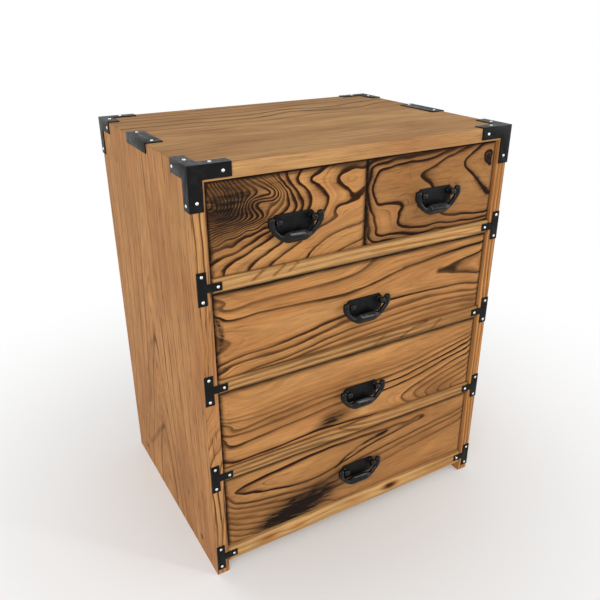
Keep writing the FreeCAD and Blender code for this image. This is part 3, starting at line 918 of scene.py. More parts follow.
    def sink(self, board: Piece, centre: Place, axis: int) -> None:
        """Cut a round screw well into the board.

        Args:
            board: The board's object.
            centre: The middle of the well's mouth.
            axis: The axis that it is cut along.
        """
        cutter = bmesh.new()
        turn = Matrix.Rotation(math.pi / 2.0, 4, "Y" if axis == 0 else "X")
        radius = self.WELL_RADIUS * MM
        bmesh.ops.create_cone(
            cutter, cap_ends=True, segments=32, radius1=radius, radius2=radius,
            depth=2.0 * self.WELL_DEPTH * MM, matrix=Matrix.Translation(Vector(centre) * MM) @ turn,
        )
        mesh = bpy.data.meshes.new("well")
        cutter.to_mesh(mesh)
        cutter.free()
        tool = added("well", mesh)
        cut = board.modifiers.new("well", "BOOLEAN")
        cut.operation = "DIFFERENCE"
        cut.solver = "EXACT"
        cut.object = tool
        settle(board)
        bpy.data.objects.remove(tool)
        bpy.data.meshes.remove(mesh)

    def on_face(self, points: np.ndarray) -> tuple[np.ndarray, np.ndarray, np.ndarray]:
        """Read points on the board's seen face.

        Args:
            points: Points in millimetres.

        Returns:
            Millimetres across the face, down it, and into the board.
        """
        x, y, z = points.T
        if self.face is Face.FRONT:
            return x + HALF_WIDTH, HEIGHT - z, y - self.low[1]
        if self.face is Face.RIGHT:
            return y - FRONT, HEIGHT - z, self.high[0] - x
        if self.face is Face.LEFT:
            return DEPTH - (y - FRONT), HEIGHT - z, x - self.low[0]
        if self.face is Face.TOP:
            return x + HALF_WIDTH, DEPTH - (y - FRONT), self.high[2] - z
        return HALF_WIDTH - x, HEIGHT - z, self.high[1] - y

    def pace(self, slope: np.ndarray) -> np.ndarray:
        """Give the millimetres between two lines from the slope of the ring number."""
        return np.clip(1.0 / np.maximum(slope, 1e-4), *self.PACES)

    def figure(self, board: Piece) -> None:
        """Store the ring number, its pace, the line strength and the char on the board's points.

        Args:
            board: The board's object.
        """
        mesh = board.data
        flat = np.empty(3 * len(mesh.vertices), np.float32)
        mesh.vertices.foreach_get("co", flat)
        points = flat.reshape(-1, 3).astype(float) / MM
        across, down, depth = self.on_face(points)
        ring, slope_across, slope_down = GrainField(self.lines, self.stretch).at(across, down)
        slope = np.hypot(slope_across, slope_down)
        edge = np.clip((depth - self.EDGE_START) / self.EDGE_RUN, 0.0, 1.0)
        if self.bevel:
            edge = edge * np.clip((depth - self.bevel[1] - self.EDGE_START) / self.EDGE_RUN, 0.0, 1.0)
        pace = self.pace(np.hypot(slope, self.edge_rings * edge))
        # Lines that cross the fibres keep full strength, and lines along them only the share along: painted
        # shade under ridges lit from above.
        crossing = slope_down if self.stretch[0] < self.stretch[1] else slope_across
        share = np.abs(crossing) / np.maximum(slope, 1e-6)
        keys, strengths = zip(*self.bold)
        bold = np.interp(ring, keys, strengths) * (self.along + (1.0 - self.along) * share)
        bold = bold * (1.0 - self.EDGE_FADE * edge)
        ring = ring + self.edge_rings * depth * edge
        if self.edge_lines:
            ahead = points[:, 1] < self.low[1] + self.EDGE_SKIN
            own = GrainField(self.edge_lines, self.EDGE_STRETCH)
            ring[ahead], slope_in, slope_down = own.at(depth[ahead], down[ahead])
            pace[ahead] = self.pace(np.hypot(slope_in, slope_down))
            bold[ahead] = self.EDGE_BOLD
        char = np.full(len(ring), self.tone)
        for patch in self.scorches:
            char += patch.at(across, down)
        figures = {"ring": ring, "pace": pace, "bold": bold, "char": char, "rim": self.singed_and_shaded(points)}
        for name, values in figures.items():
            store = mesh.attributes.new(name, "FLOAT", "POINT")
            store.data.foreach_set("value", values.astype(np.float32))


# Upper left front: tight waves round the left end, wide bends to the right.
UPPER_LEFT_FIGURE = (
    Line(11, (158, 67), (150, 68), (140, 69), (128, 72), (113, 78), (105, 84), (101, 91)),
    Line(10, (147, 45), (138, 47.5), (129, 50), (127.5, 53), (130, 57), (122, 61), (112, 64), (98, 71),
         (88, 76), (78, 81), (71, 86), (66, 91)),
    Line(10, (157, 20), (147, 19), (138, 20.5), (131, 24), (137, 32), (143, 39), (149, 41.5), (156, 37)),
    Line(9, (124, 13), (112, 18.5), (104, 23), (112, 28), (117, 33), (121, 41), (119, 47), (113, 55),
         (98, 62), (84, 67.5), (74, 72), (62, 78), (52, 84), (47, 91)),
    Line(8, (99, 13), (93, 18), (92, 22), (98, 27.5), (103, 33), (104.5, 40), (102, 47), (92, 55),
         (80, 60), (69, 64.5), (52, 71), (35, 79), (27, 84), (25, 91)),
    Line(7, (83, 13), (84, 20), (88, 26), (93, 33), (97, 41), (94, 48), (82, 54.5), (66, 60), (48, 67),
         (30, 73.5), (14, 80)),
    Line(6, (75, 13), (79, 21), (84, 27), (88, 34), (91, 42), (86, 48.5), (74, 53.5), (63, 56.5),
         (48, 61), (32, 67), (14, 73)),
    Line(5, (68, 13), (74, 20), (79, 26), (82, 32), (84, 39), (80, 45), (70, 50), (60, 52), (45, 55.5),
         (28, 60), (14, 66)),
    Line(2.0, (58, 13), (65, 18.5), (71, 24), (74, 29), (72, 33.5), (65, 34.5), (58, 34.5), (56, 38),
         (60, 43), (59, 48), (48, 51), (33, 54), (14, 60)),
    Line(0.25, (49, 13), (57, 19), (64, 23.5), (68, 27.5), (66, 30.5), (58, 30.5), (51, 31.5),
         (48.5, 36), (51, 41), (52, 46), (43, 49), (30, 51), (14, 55)),
    Line(-1.5, (41, 13), (47, 19.5), (52, 25), (50.5, 28), (46, 31), (44, 36), (45, 42), (40, 47),
         (28, 48.5), (14, 51)),
    Line(-3.25, (34, 13), (39, 19), (43, 26), (40.5, 33), (39, 39), (33, 45), (14, 47)),
    Line(-5.0, (28, 13), (33, 20), (36, 27), (35.5, 34), (32.5, 40), (26, 43.5)),
    Line(-6.75, (23, 13), (28, 20), (31, 28), (30.5, 35), (26, 40.5)),
    Line(-8.5, (18.5, 13), (23, 21), (26, 29), (25, 36), (20, 40)),
    Line(-10.25, (14, 14), (18.5, 22), (21, 30), (19, 37)),
    Line(9.7, (150, 14.5), (138, 15.5), (127, 21), (129, 31), (135, 38)),
)
# Upper right front: wide nested points round a dark spot.
UPPER_RIGHT_FIGURE = (
    Line(1, (292, 22), (298, 20.5), (301, 28), (299.5, 35), (295, 31.5), (291.5, 26.5)),
    Line(2, (292, 13), (277, 19.5), (268, 26), (267, 30), (272, 36), (280, 42), (286, 48), (292, 55),
         (298, 61), (307, 64)),
    Line(3, (276, 13), (260, 17), (246, 20.5), (230, 27.5), (219, 31), (217, 35), (222, 39.5),
         (229, 43.5), (232, 51), (233, 61), (239, 70), (249, 76), (262, 78), (285, 80), (307, 81)),
    Line(4, (256, 13), (235, 18), (205, 19.5), (188, 21), (175, 23), (169, 25.5), (166.5, 31), (165, 37),
         (166, 44), (169, 52.5), (178, 55), (190, 56.5), (197, 59.5), (193, 64.5), (193.5, 69),
         (192.5, 74), (198, 79), (207, 81.5), (230, 83.5), (270, 85), (307, 86)),
    Line(5, (235, 13), (205, 15), (180, 17), (165, 19.5), (162, 30), (161.5, 45), (163.5, 58), (167, 68),
         (169, 80), (179, 84.5), (200, 86.5), (240, 88), (307, 90)),
    Line(6, (170, 13), (160.5, 17), (160, 60), (162.5, 75), (165, 86), (180, 89.5)),
    Line(3.53, (180, 38)),
    Line(3.5, (192, 30), (200, 40), (192, 48), (213, 55)),
    Line(3.4, (208, 66), (214, 75)),
    Line(4.5, (176, 63), (183, 74)),
    Line(2.5, (250, 35), (262, 55)),
    Line(1.5, (280, 28)),
    Line(0.7, (296.5, 27)),
)
# Second front: two long lines above, a dark wedge at the right, close lines below.
SECOND_FIGURE = (
    Line(1, (307, 121), (290, 123.5), (272, 126), (257, 129), (248, 131.5), (254, 134.5), (266, 138),
         (285, 141.5), (307, 147)),
    Line(2, (13, 115), (19, 125), (25, 128.5), (50, 128.5), (90, 129.5), (130, 130.5), (155, 129.5),
         (178, 125.5), (200, 120.5), (230, 117), (262, 113), (307, 111.5)),
    Line(2, (13, 173), (22, 168), (60, 165), (85, 162.5), (105, 159.5), (135, 155), (165, 151.5),
         (190, 150), (220, 150), (250, 151), (280, 152.5), (307, 158)),
    Line(3, (13, 107), (20, 117), (45, 118), (90, 117), (125, 116), (145, 114.5), (160, 110.5),
         (172, 104)),
    Line(3, (13, 180), (25, 173.5), (60, 172), (90, 170), (112, 166), (140, 161), (175, 160.5),
         (215, 159), (240, 158), (270, 160), (307, 165)),
    Line(4, (40, 184), (80, 180), (105, 175.5), (130, 171.5), (160, 169), (200, 166.5), (240, 165.5),
         (270, 167), (307, 171)),
    Line(5, (95, 184), (130, 178), (170, 174.5), (210, 172), (250, 171.5), (280, 173), (307, 177)),
    Line(6, (150, 184), (190, 180), (230, 177.5), (270, 178.5), (307, 182)),
    Line(1.35, (60, 146), (110, 144), (170, 140)),
    Line(1.1, (13.5, 140), (17, 141)),
)
# Third front: long lines through the middle, nested points at the lower right.
THIRD_FIGURE = (
    Line(0, (307, 264), (290, 268), (281, 271), (284, 278)),
    Line(1, (307, 257), (285, 262), (268, 266), (262, 270), (266, 278)),
    Line(2, (307, 250), (282, 256), (262, 260), (248, 265), (244, 269), (250, 277)),
    Line(3, (307, 243), (280, 249), (258, 254), (240, 259), (229, 264.5), (231, 270), (239, 277)),
    Line(4, (307, 236), (285, 240), (262, 246), (240, 252.5), (222, 258.5), (213, 264), (215, 269),
         (222, 275), (228, 279)),
    Line(5, (13, 245), (18, 251), (25, 254), (40, 253.5), (60, 252), (90, 249.5), (112, 247),
         (140, 245.5), (165, 248), (190, 249), (215, 246.5), (240, 242), (268, 236), (307, 228)),
    Line(5, (15, 271), (24, 274.5), (50, 274.5), (85, 273), (110, 271.5), (150, 274), (180, 278)),
    Line(6, (13, 235), (18, 241.5), (28, 243), (60, 241.5), (95, 239), (130, 237), (160, 238.5),
         (190, 241), (215, 239.5), (245, 234), (280, 227.5), (307, 222)),
    Line(7, (13, 229), (25, 236.5), (60, 235), (100, 232.5), (140, 231), (180, 233.5), (215, 232),
         (250, 227), (307, 216)),
    Line(8, (14, 227), (50, 230), (100, 227.5), (150, 225.5), (200, 226), (250, 220), (307, 211)),
    Line(9, (14, 223), (60, 225), (110, 222.5), (160, 220), (210, 219.5), (260, 213.5), (307, 206)),
    Line(10, (14, 218), (60, 220), (120, 216.5), (180, 214), (240, 209), (307, 201.5)),
    Line(10.6, (14, 207), (100, 205), (200, 201), (240, 198)),
    Line(10.9, (14, 198), (120, 197)),
    Line(4.5, (20, 262), (60, 263), (100, 260), (160, 264), (195, 262)),
)
# Bottom front: one long loop above, sloping lines at the lower left.
BOTTOM_FIGURE = (
    Line(1, (22, 308), (26, 305), (40, 301.5), (62, 299), (95, 297), (130, 296), (165, 296.5),
         (200, 298), (228, 299.5), (245, 300.5), (232, 303.5), (212, 306.5), (190, 309.5), (170, 313.5),
         (152, 319), (136, 323.5), (118, 327), (98, 327.5), (80, 325.5), (60, 321), (40, 315.5),
         (27, 311.5)),
    Line(2, (13, 312), (20, 319.5), (32, 324.5), (52, 329), (75, 333), (98, 336), (122, 336), (145, 330),
         (170, 325), (195, 321.5), (225, 318), (255, 314.5), (285, 311.5), (307, 309)),
    Line(3, (13, 320), (26, 328.5), (48, 335), (75, 341), (100, 344), (130, 343), (160, 336), (190, 330),
         (225, 325), (265, 320), (307, 315)),
    Line(4, (13, 329), (35, 338), (62, 344.5), (95, 350), (130, 350), (170, 343), (215, 336), (260, 332),
         (307, 325)),
    Line(5, (13, 337), (38, 346), (68, 353), (100, 357)),
    Line(6, (13, 344), (40, 353), (72, 361)),
    Line(7, (13, 351), (40, 360), (68, 367)),
    Line(8, (13, 358), (36, 366), (50, 371)),
    Line(0.6, (55, 309), (80, 311), (110, 312), (150, 306)),
    Line(0.75, (180, 303.5), (205, 302.5)),
    Line(0.9, (228, 301.5), (238, 301)),
    Line(1.25, (255, 303), (270, 300)),
    Line(1.4, (14, 299), (60, 293), (160, 291.5), (280, 296)),
    Line(4.4, (200, 352), (250, 350), (305, 345)),
    Line(4.8, (140, 368), (220, 370), (305, 370)),
)
# Right side: upright lines that step forward in hooks, with tall arches near the rear.
RIGHT_SIDE_FIGURE = (
    Line(-16, (241, 362), (235, 373), (230, 385), (227, 396)),
    Line(-15, (241, 257), (234, 250), (226, 240), (219, 230), (212, 220), (206, 213), (204, 225),
         (208, 240), (212, 255), (216, 270), (221, 285), (225, 300), (227, 313), (224, 324), (218, 330),
         (212, 340), (208, 348), (200, 348), (190, 345), (182, 344), (178, 352), (179, 370), (180, 396)),
    Line(-14, (241, 189), (236, 191), (232, 195), (235, 206), (235, 216), (230, 217), (226, 209),
         (219, 196), (212, 183), (205, 170), (200, 160), (193, 150), (187, 141), (181, 138), (184, 150),
         (186, 165), (188, 185), (190, 200), (193, 215), (196, 230), (199, 245), (200, 254), (197, 261),
         (190, 260), (184, 262), (181, 272), (180, 285), (178, 298), (173, 308), (166, 315), (161, 319),
         (160, 330), (163, 345), (166, 360), (167, 396)),
    Line(-14, (221, 4), (226, 25), (230, 40), (235, 55), (241, 70)),
    Line(-13, (200, 4), (205, 18), (211, 32), (218, 47), (223, 60), (226, 75), (227, 97), (230, 110),
         (232, 122), (231, 135), (228, 144), (222, 149), (216, 147), (211, 139), (205, 128), (199, 118),
         (195, 112), (189, 107), (184, 110), (178, 106), (170, 101), (163, 97), (163, 105), (165, 118),
         (168, 133), (171, 150), (173, 165), (175, 180), (176, 195), (177, 205), (175, 214), (168, 216),
         (164, 214), (162, 222), (161, 238), (158, 250), (156, 265), (154, 280), (150, 293), (148, 305),
         (147, 318), (149, 332), (152, 345), (154, 360), (155, 396)),
    Line(-12, (164, 4), (168, 20), (171, 35), (171, 50), (171, 58), (168, 65), (160, 70), (150, 68),
         (146, 72), (144, 80), (146, 90), (150, 102), (154, 115), (156, 130), (157, 145), (157, 158),
         (155, 165), (148, 168), (144, 170), (142, 178), (143, 188), (145, 198), (142, 210), (136, 217),
         (131, 227), (128, 238), (131, 245), (130, 255), (127, 265), (125, 275), (127, 290), (130, 305),
         (134, 320), (135, 335), (134, 350), (133, 396)),
    Line(-11, (151, 4), (151, 20), (150, 35), (147, 41), (140, 43), (134, 46), (130, 54), (131, 63),
         (135, 73), (139, 90), (143, 110), (145, 122), (143, 130), (137, 135), (129, 136), (126, 140),
         (130, 150), (133, 165), (134, 185), (131, 200), (123, 208), (118, 213), (116, 225), (113, 240),
         (111, 258), (111, 275), (114, 295), (118, 315), (120, 340), (119, 365), (117, 396)),
    Line(-10, (137, 4), (136, 14), (130, 19), (124, 23), (121, 27), (121, 40), (124, 55), (128, 70),
         (131, 85), (131, 100), (130, 107), (125, 113), (118, 115), (116, 120), (118, 135), (119, 150),
         (121, 165), (123, 180), (119, 188), (112, 197), (107, 208), (105, 225), (104, 250), (104, 275),
         (106, 300), (108, 330), (107, 360), (105, 396)),
    Line(-9, (113, 4), (115, 30), (117, 50), (119, 65), (120, 80), (119, 92), (114, 98), (111, 103),
         (113, 115), (115, 135), (116, 155), (115, 170), (110, 182), (105, 192), (101, 205), (99, 222),
         (97, 245), (96, 280), (97, 310), (95, 345), (93, 396)),
    Line(-8, (102, 4), (105, 22), (107, 38), (108, 55), (107, 70), (104, 79), (97, 82), (95, 92),
         (98, 105), (102, 120), (103, 140), (101, 155), (95, 165), (89, 176), (86, 190), (86, 210),
         (85, 240), (87, 270), (88, 300), (84, 340), (81, 396)),
    Line(-7, (90, 4), (91, 20), (92, 35), (91, 48), (86, 55), (82, 58), (83, 70), (87, 85), (90, 100),
         (91, 120), (88, 140), (82, 155), (77, 168), (74, 185), (75, 210), (76, 240), (78, 270),
         (77, 300), (72, 340), (69, 396)),
    Line(-6, (77, 4), (72, 16), (68, 28), (68, 45), (73, 70), (77, 95), (76, 120), (72, 145), (67, 170),
         (65, 200), (66, 240), (68, 280), (66, 310), (60, 340), (57, 396)),
    Line(-5, (55, 4), (57, 30), (60, 55), (63, 80), (64, 100), (62, 130), (58, 160), (55, 200),
         (56, 250), (58, 285), (52, 300), (48, 340), (45, 396)),
    Line(-4, (46, 4), (47, 50), (51, 90), (50, 140), (46, 190), (44, 240), (44, 300), (38, 350),
         (35, 396)),
    Line(-3, (34, 4), (36, 60), (40, 110), (38, 160), (34, 210), (31, 250), (32, 310), (27, 396)),
    Line(-2, (23, 4), (25, 70), (29, 110), (26, 170), (22, 230), (22, 300), (18, 396)),
    Line(-1, (12, 4), (14, 80), (17, 130), (14, 200), (11, 280), (9, 396)),
)
# Left side: soft upright lines round one tall arch.
LEFT_SIDE_FIGURE = (
    Line(6, (84, 400), (92, 345), (101, 318), (110, 306), (119, 318), (126, 345), (132, 400)),
    Line(5, (52, 400), (60, 360), (76, 320), (88, 270), (100, 230), (112, 200), (122, 240), (134, 300),
         (146, 400)),
    Line(4, (96, 0), (94, 100), (86, 200), (74, 260), (62, 310), (44, 360), (34, 400)),
    Line(4, (130, 0), (132, 100), (138, 200), (150, 300), (160, 400)),
    Line(3, (78, 0), (76, 100), (68, 200), (58, 280), (40, 340), (20, 400)),
    Line(3, (148, 0), (150, 120), (156, 240), (172, 400)),
    Line(2, (58, 0), (56, 120), (50, 220), (40, 290), (20, 350), (4, 400)),
    Line(2, (166, 0), (170, 120), (176, 240), (188, 400)),
    Line(1, (38, 0), (36, 120), (30, 220), (18, 300), (4, 350)),
    Line(1, (186, 0), (190, 120), (196, 260), (206, 400)),
    Line(0, (18, 0), (16, 120), (10, 220), (2, 280)),
    Line(0, (206, 0), (210, 130), (216, 260), (224, 400)),
    Line(-1, (226, 0), (228, 130), (234, 260), (240, 380)),
)
# Top: soft lines across, close at the rear, with one bold wave near the rear right.
TOP_FIGURE = (
    Line(0, (0, 12), (80, 14), (160, 12), (240, 8), (320, 6)),
    Line(1, (0, 26), (80, 28), (160, 27), (230, 20), (320, 16)),
    Line(2, (0, 42), (80, 44), (160, 43), (220, 34), (320, 28)),
    Line(3, (0, 58), (80, 60), (150, 62), (185, 54), (220, 60), (255, 57), (320, 44)),
    Line(4, (0, 76), (80, 80), (140, 82), (180, 68), (215, 76), (250, 82), (285, 70), (320, 64)),
    Line(5, (0, 94), (80, 98), (150, 100), (200, 92), (260, 98), (320, 88)),
    Line(6, (0, 116), (60, 122), (110, 117), (150, 123), (220, 119), (320, 112)),
    Line(7, (0, 166), (60, 160), (120, 167), (200, 162), (320, 168)),
    Line(8, (0, 184), (80, 179), (160, 187), (240, 181), (320, 188)),
    Line(9, (0, 204), (90, 199), (180, 207), (320, 203)),
    Line(10, (0, 222), (100, 219), (200, 227), (320, 221)),
)
# Shelf rail: one long low lens.
SHELF_RAIL_FIGURE = (
    Line(0, (13, 94), (100, 92), (200, 91.5), (307, 95)),
    Line(1, (13, 100), (80, 97.5), (150, 95.5), (230, 97.5), (307, 102)),
    Line(2, (13, 106), (100, 102.5), (200, 102), (307, 107)),
)
# Middle rail: level lines.
MIDDLE_RAIL_FIGURE = (
    Line(0, (13, 187), (150, 185.5), (307, 184)),
    Line(1, (13, 192), (150, 190.5), (307, 188.5)),
    Line(2, (13, 197), (150, 195.5), (307, 194)),
)
# Lower rail: lines that fall to the right.
LOWER_RAIL_FIGURE = (
    Line(0, (13, 276), (140, 278), (165, 282), (307, 286)),
    Line(1, (13, 281), (140, 284), (170, 288), (307, 291)),
    Line(2, (13, 286), (140, 290), (307, 297)),
)
# Bottom rail: pale, with two small knots.
BOTTOM_RAIL_FIGURE = (
    Line(0, (13, 372), (70, 371), (85, 369), (100, 371), (190, 371), (205, 369), (220, 371), (307, 372)),
    Line(1, (13, 378), (68, 379), (85, 381), (102, 379), (190, 379), (205, 381), (222, 378), (307, 377)),
    Line(2, (13, 385), (80, 386), (200, 386), (307, 384)),
)
# Front edge of the left side: upright lines that cross it in long bends.
LEFT_STILE_FIGURE = (
    Line(0, (1, 30), (2, 60), (1.5, 95), (2, 120), (4, 150), (4.5, 172), (3, 190), (0, 205), (-4, 215)),
    Line(1, (7, 30), (8, 60), (9, 95), (7, 115), (6.5, 140), (5.5, 165), (6, 180), (9, 200), (5, 212),
         (0, 220), (-5, 232)),
    Line(2, (12, 40), (13, 95), (12, 130), (11, 160), (10, 178), (12, 195), (13, 230), (8, 236),
         (2, 247), (-4, 262)),
    Line(3, (14, 240), (11, 252), (6, 258), (1, 268), (0, 285), (2, 310), (3, 335), (2, 365), (1, 398)),
    Line(4, (13, 265), (9, 280), (6, 295), (7, 320), (8, 345), (6, 370), (5, 398)),
    Line(5, (13, 290), (12, 320), (12.5, 350), (11, 375), (10, 398)),
)
# Front edge of the right side: quiet upright lines.
RIGHT_STILE_FIGURE = (
    Line(0, (0, 20), (1, 100), (0, 200), (1.5, 300), (0, 398)),
    Line(1, (4.5, 20), (5.5, 100), (4, 200), (6, 300), (4.5, 398)),
    Line(2, (9, 20), (10, 100), (8.5, 200), (10.5, 300), (9, 398)),
    Line(3, (13, 20), (14, 150), (13, 300), (14, 398)),
)
# Rear rail: level lines.
REAR_RAIL_FIGURE = (
    Line(0, (13, 370), (160, 372), (307, 369)),
    Line(1, (13, 379), (160, 382), (307, 378)),
    Line(2, (13, 389), (160, 391), (307, 387)),
    Line(3, (13, 398), (160, 400), (307, 397)),
)


def corners(node: str, sag: float = 0.0, room: float = 0.0) -> tuple[Place, Place]:
    """Give a board's corners at a node's place, with its underside and its upper side lowered."""
    low, high = ([round(value / MM, 3) for value in corner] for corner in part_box(node))
    return (low[0], low[1], low[2] - sag), (high[0], high[1], high[2] - room)


def own_copy(node: str, name: str, rounding: float) -> Piece:
    """Copy a node's mesh, merge it and round its edges a little.

    Args:
        node: The node to copy.
        name: The new piece's name.
        rounding: The width of the rounded edges in millimetres.

    Returns:
        The new piece.
    """
    work = bmesh.new()
    work.from_mesh(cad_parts[node].data)
    bmesh.ops.remove_doubles(work, verts=work.verts, dist=1e-6)
    flat = math.radians(1.0)
    bmesh.ops.dissolve_limit(work, angle_limit=flat, verts=work.verts, edges=work.edges)
    mesh = bpy.data.meshes.new(name)
    work.to_mesh(mesh)
    work.free()
    return soften(added(name, mesh), rounding, segments=2, angle=40.0)


@dataclass
class Case:
    """The cedar boards of the case."""

    slide_room: float = 0.05
    rail_stretch: Point = (6.0, 1.0)
    rail_steps: Place = (2.5, 12.0, 1.0)
    # How much a rail's rim is darkened at its sides, top and bottom: burn, with painted shade from the gap
    # below it.
    rail_rim_burn_and_shade_shares: Place = (1.0, 0.1, 1.0)

    def wells(self, side: int) -> tuple[tuple[Place, int], ...]:
        """Give the screw wells of one side panel, where side is -1 for the left and 1 for the right."""
        return tuple(((side * HALF_WIDTH, FRONT + depth, SCREW_LEVEL), 0) for depth in SCREW_DEPTHS)

    def board(self, node: str, face: Face, figure: Figure, room: float = 0.0, **own: object) -> Board:
        """Give one of the case's boards at its node's place, lowered by some room, with its own values."""
        return Board(node, "case", face, *corners(node, room=room), figure, **own)

    def rail(
        self, node: str, figure: Figure, bold: float, tone: float, rim: float, *scorches: Scorch | Streak
    ) -> Board:
        """Give a rail between two drawers, darkened along its lower edge partly as burn and partly as
        painted shade from the gap above the drawer below.

        Args:
            node: The node that it replaces.
            figure: Its grain lines.
            bold: How strongly they show.
            tone: How burnt the rail is.
            rim: How wide its rim of burn and painted shade is.
            scorches: Its darker and paler patches and streaks.

        Returns:
            The rail.
        """
        return self.board(
            node, Face.FRONT, figure, stretch=self.rail_stretch, bold=((0, bold),), tone=tone,
            steps=self.rail_steps, burn=1.0, rim=rim, rim_shares=self.rail_rim_burn_and_shade_shares, scorches=scorches,
        )

    def sides(self) -> list[Board]:
        """Give the side panels with the grain figures of their faces.

        Returns:
            The left and the right panel.
        """
        left = self.board(
            "left_side_panel", Face.LEFT, LEFT_SIDE_FIGURE, stretch=(1.0, 2.5), mitre=True,
            bold=((-1, 0.35), (3, 0.4), (5, 0.5), (6, 0.8)), steps=(3.0, 2.5, 2.5),
            wells=self.wells(-1), edge_lines=LEFT_STILE_FIGURE,
            scorches=(
                Streak(
                    ((114, 199), (100, 208), (88, 217), (82, 235), (78, 260), (74, 285), (68, 298)),
                    7.0, 0.3,
                ),
                Streak(((110, 306), (97, 317), (84, 330), (70, 346), (52, 363)), 5.0, 0.35),
                Scorch((120, 330), (130, 90), 0.12),
                Scorch((215, 55), (40, 60), -0.25),
                Scorch((100, 60), (80, 70), -0.15),
            ),
        )
        # The right side's upright lines keep 0.8 of their strength and its hooks all of it: painted shade
        # under the hooks' ridges.
        right = self.board(
            "right_side_panel", Face.RIGHT, RIGHT_SIDE_FIGURE, stretch=(1.0, 1.05), mitre=True, along=0.8,
            bold=((-16, 1.1), (-12, 1.1), (-9, 0.95), (-6, 0.75), (-1, 0.5)), steps=(3.0, 2.0, 2.0),
            wells=self.wells(1), edge_lines=RIGHT_STILE_FIGURE,
            scorches=(
                Scorch((227, 261), (7, 7), 0.9),
                Streak(((224, 80), (226, 96)), 4.0, 0.8),
                Scorch((115, 380), (80, 70), 0.35),
                Scorch((190, 60), (60, 60), -0.3),
                Scorch((190, 300), (40, 50), -0.15),
            ),
        )
        return [left, right]

    def top(self) -> Board:
        """Give the top with its grain figure.

        Returns:
            The top board.
        """
        return self.board(
            "top_board", Face.TOP, TOP_FIGURE, stretch=(2.5, 1.0), mitre=True, steps=(2.5, 2.5, 3.0),
            bold=((0, 0.5), (2, 0.55), (3, 0.65), (4, 0.7), (5, 0.35), (6, 0.2), (10, 0.14)),
            scorches=(
                Scorch((230, 140), (150, 30), -0.55),
                Scorch((220, 72), (60, 16), 0.35),
                Scorch((260, 35), (90, 40), 0.12),
            ),
        )

    def rails(self) -> list[Board]:
        """Give the rails with their grain figures.

        Returns:
            The rails from the shelf's edge down, and then the rear one.
        """
        return [
            self.rail(
                "upper_shelf", SHELF_RAIL_FIGURE, 0.4, -0.7, 2.7,
                Streak(((49, 98), (60, 90.5)), 2.0, 1.3),
                Streak(((68, 98), (79, 90.5)), 2.0, 1.3),
                Streak(((82, 97.5), (92, 90.5)), 1.8, 1.2),
                Streak(((165, 96.5), (235, 97.5), (307, 96.5)), 1.6, 0.9),
            ),
            self.rail(
                "middle_rail", MIDDLE_RAIL_FIGURE, 0.6, -0.4, 3.2,
                Streak(((172, 196), (186, 186)), 2.2, 0.8),
                Streak(((206, 194), (222, 187), (240, 184.5)), 2.4, 1.0),
                Streak(((243, 196), (257, 186)), 2.2, 0.7),
                Scorch((280, 190), (60, 14), 0.25),
            ),
            self.rail(
                "lower_rail", LOWER_RAIL_FIGURE, 0.6, -0.35, 3.2,
                Streak(((138, 278), (150, 283), (166, 289)), 2.4, 0.9),
            ),
            # The bottom rail's rim is darkened partly as burn, partly as painted shade in the gap round the
            # bottom drawer.
            self.board(
                "bottom_rail", Face.FRONT, BOTTOM_RAIL_FIGURE, self.slide_room, stretch=(3.0, 1.0),
                bold=((0, 0.4),), tone=-0.95, steps=(2.5, 4.0, 1.2), burn=0.6, rim=2.2,
                rim_shares=(1.0, 0.3, 0.6),
                scorches=(
                    Scorch((56, 379), (24, 8), 1.4),
                    Scorch((90, 379), (18, 6), 1.1),
                    Scorch((160, 379), (26, 7), 0.7),
                    Scorch((206, 378), (17, 7), 2.4),
                    Scorch((285, 378), (70, 20), 0.75),
                ),
            ),
            self.board(
                "rear_rail", Face.REAR, REAR_RAIL_FIGURE, stretch=(5.0, 1.0), bold=((0, 0.4),), tone=-0.55,
                steps=(3.0, 4.0, 2.5), wells=(((0.0, FRONT + DEPTH, SCREW_LEVEL), 1),),
            ),
        ]

    def build(self, finishes: dict[Cut, Finish]) -> None:
        """Build and dress every board.

        Args:
            finishes: The burnt cedar for each cut.
        """
        cuts = (Cut.QUIET_UPRIGHT, Cut.BOLD_UPRIGHT, Cut.FADED_LEVEL)
        chosen = list(zip(self.sides() + [self.top()], cuts))
        chosen += [(rail, Cut.LEVEL) for rail in self.rails()]
        for board, cut in chosen:
            fit_out(board.build(), board.body, "burnt_cedar", finishes[cut], board.node)


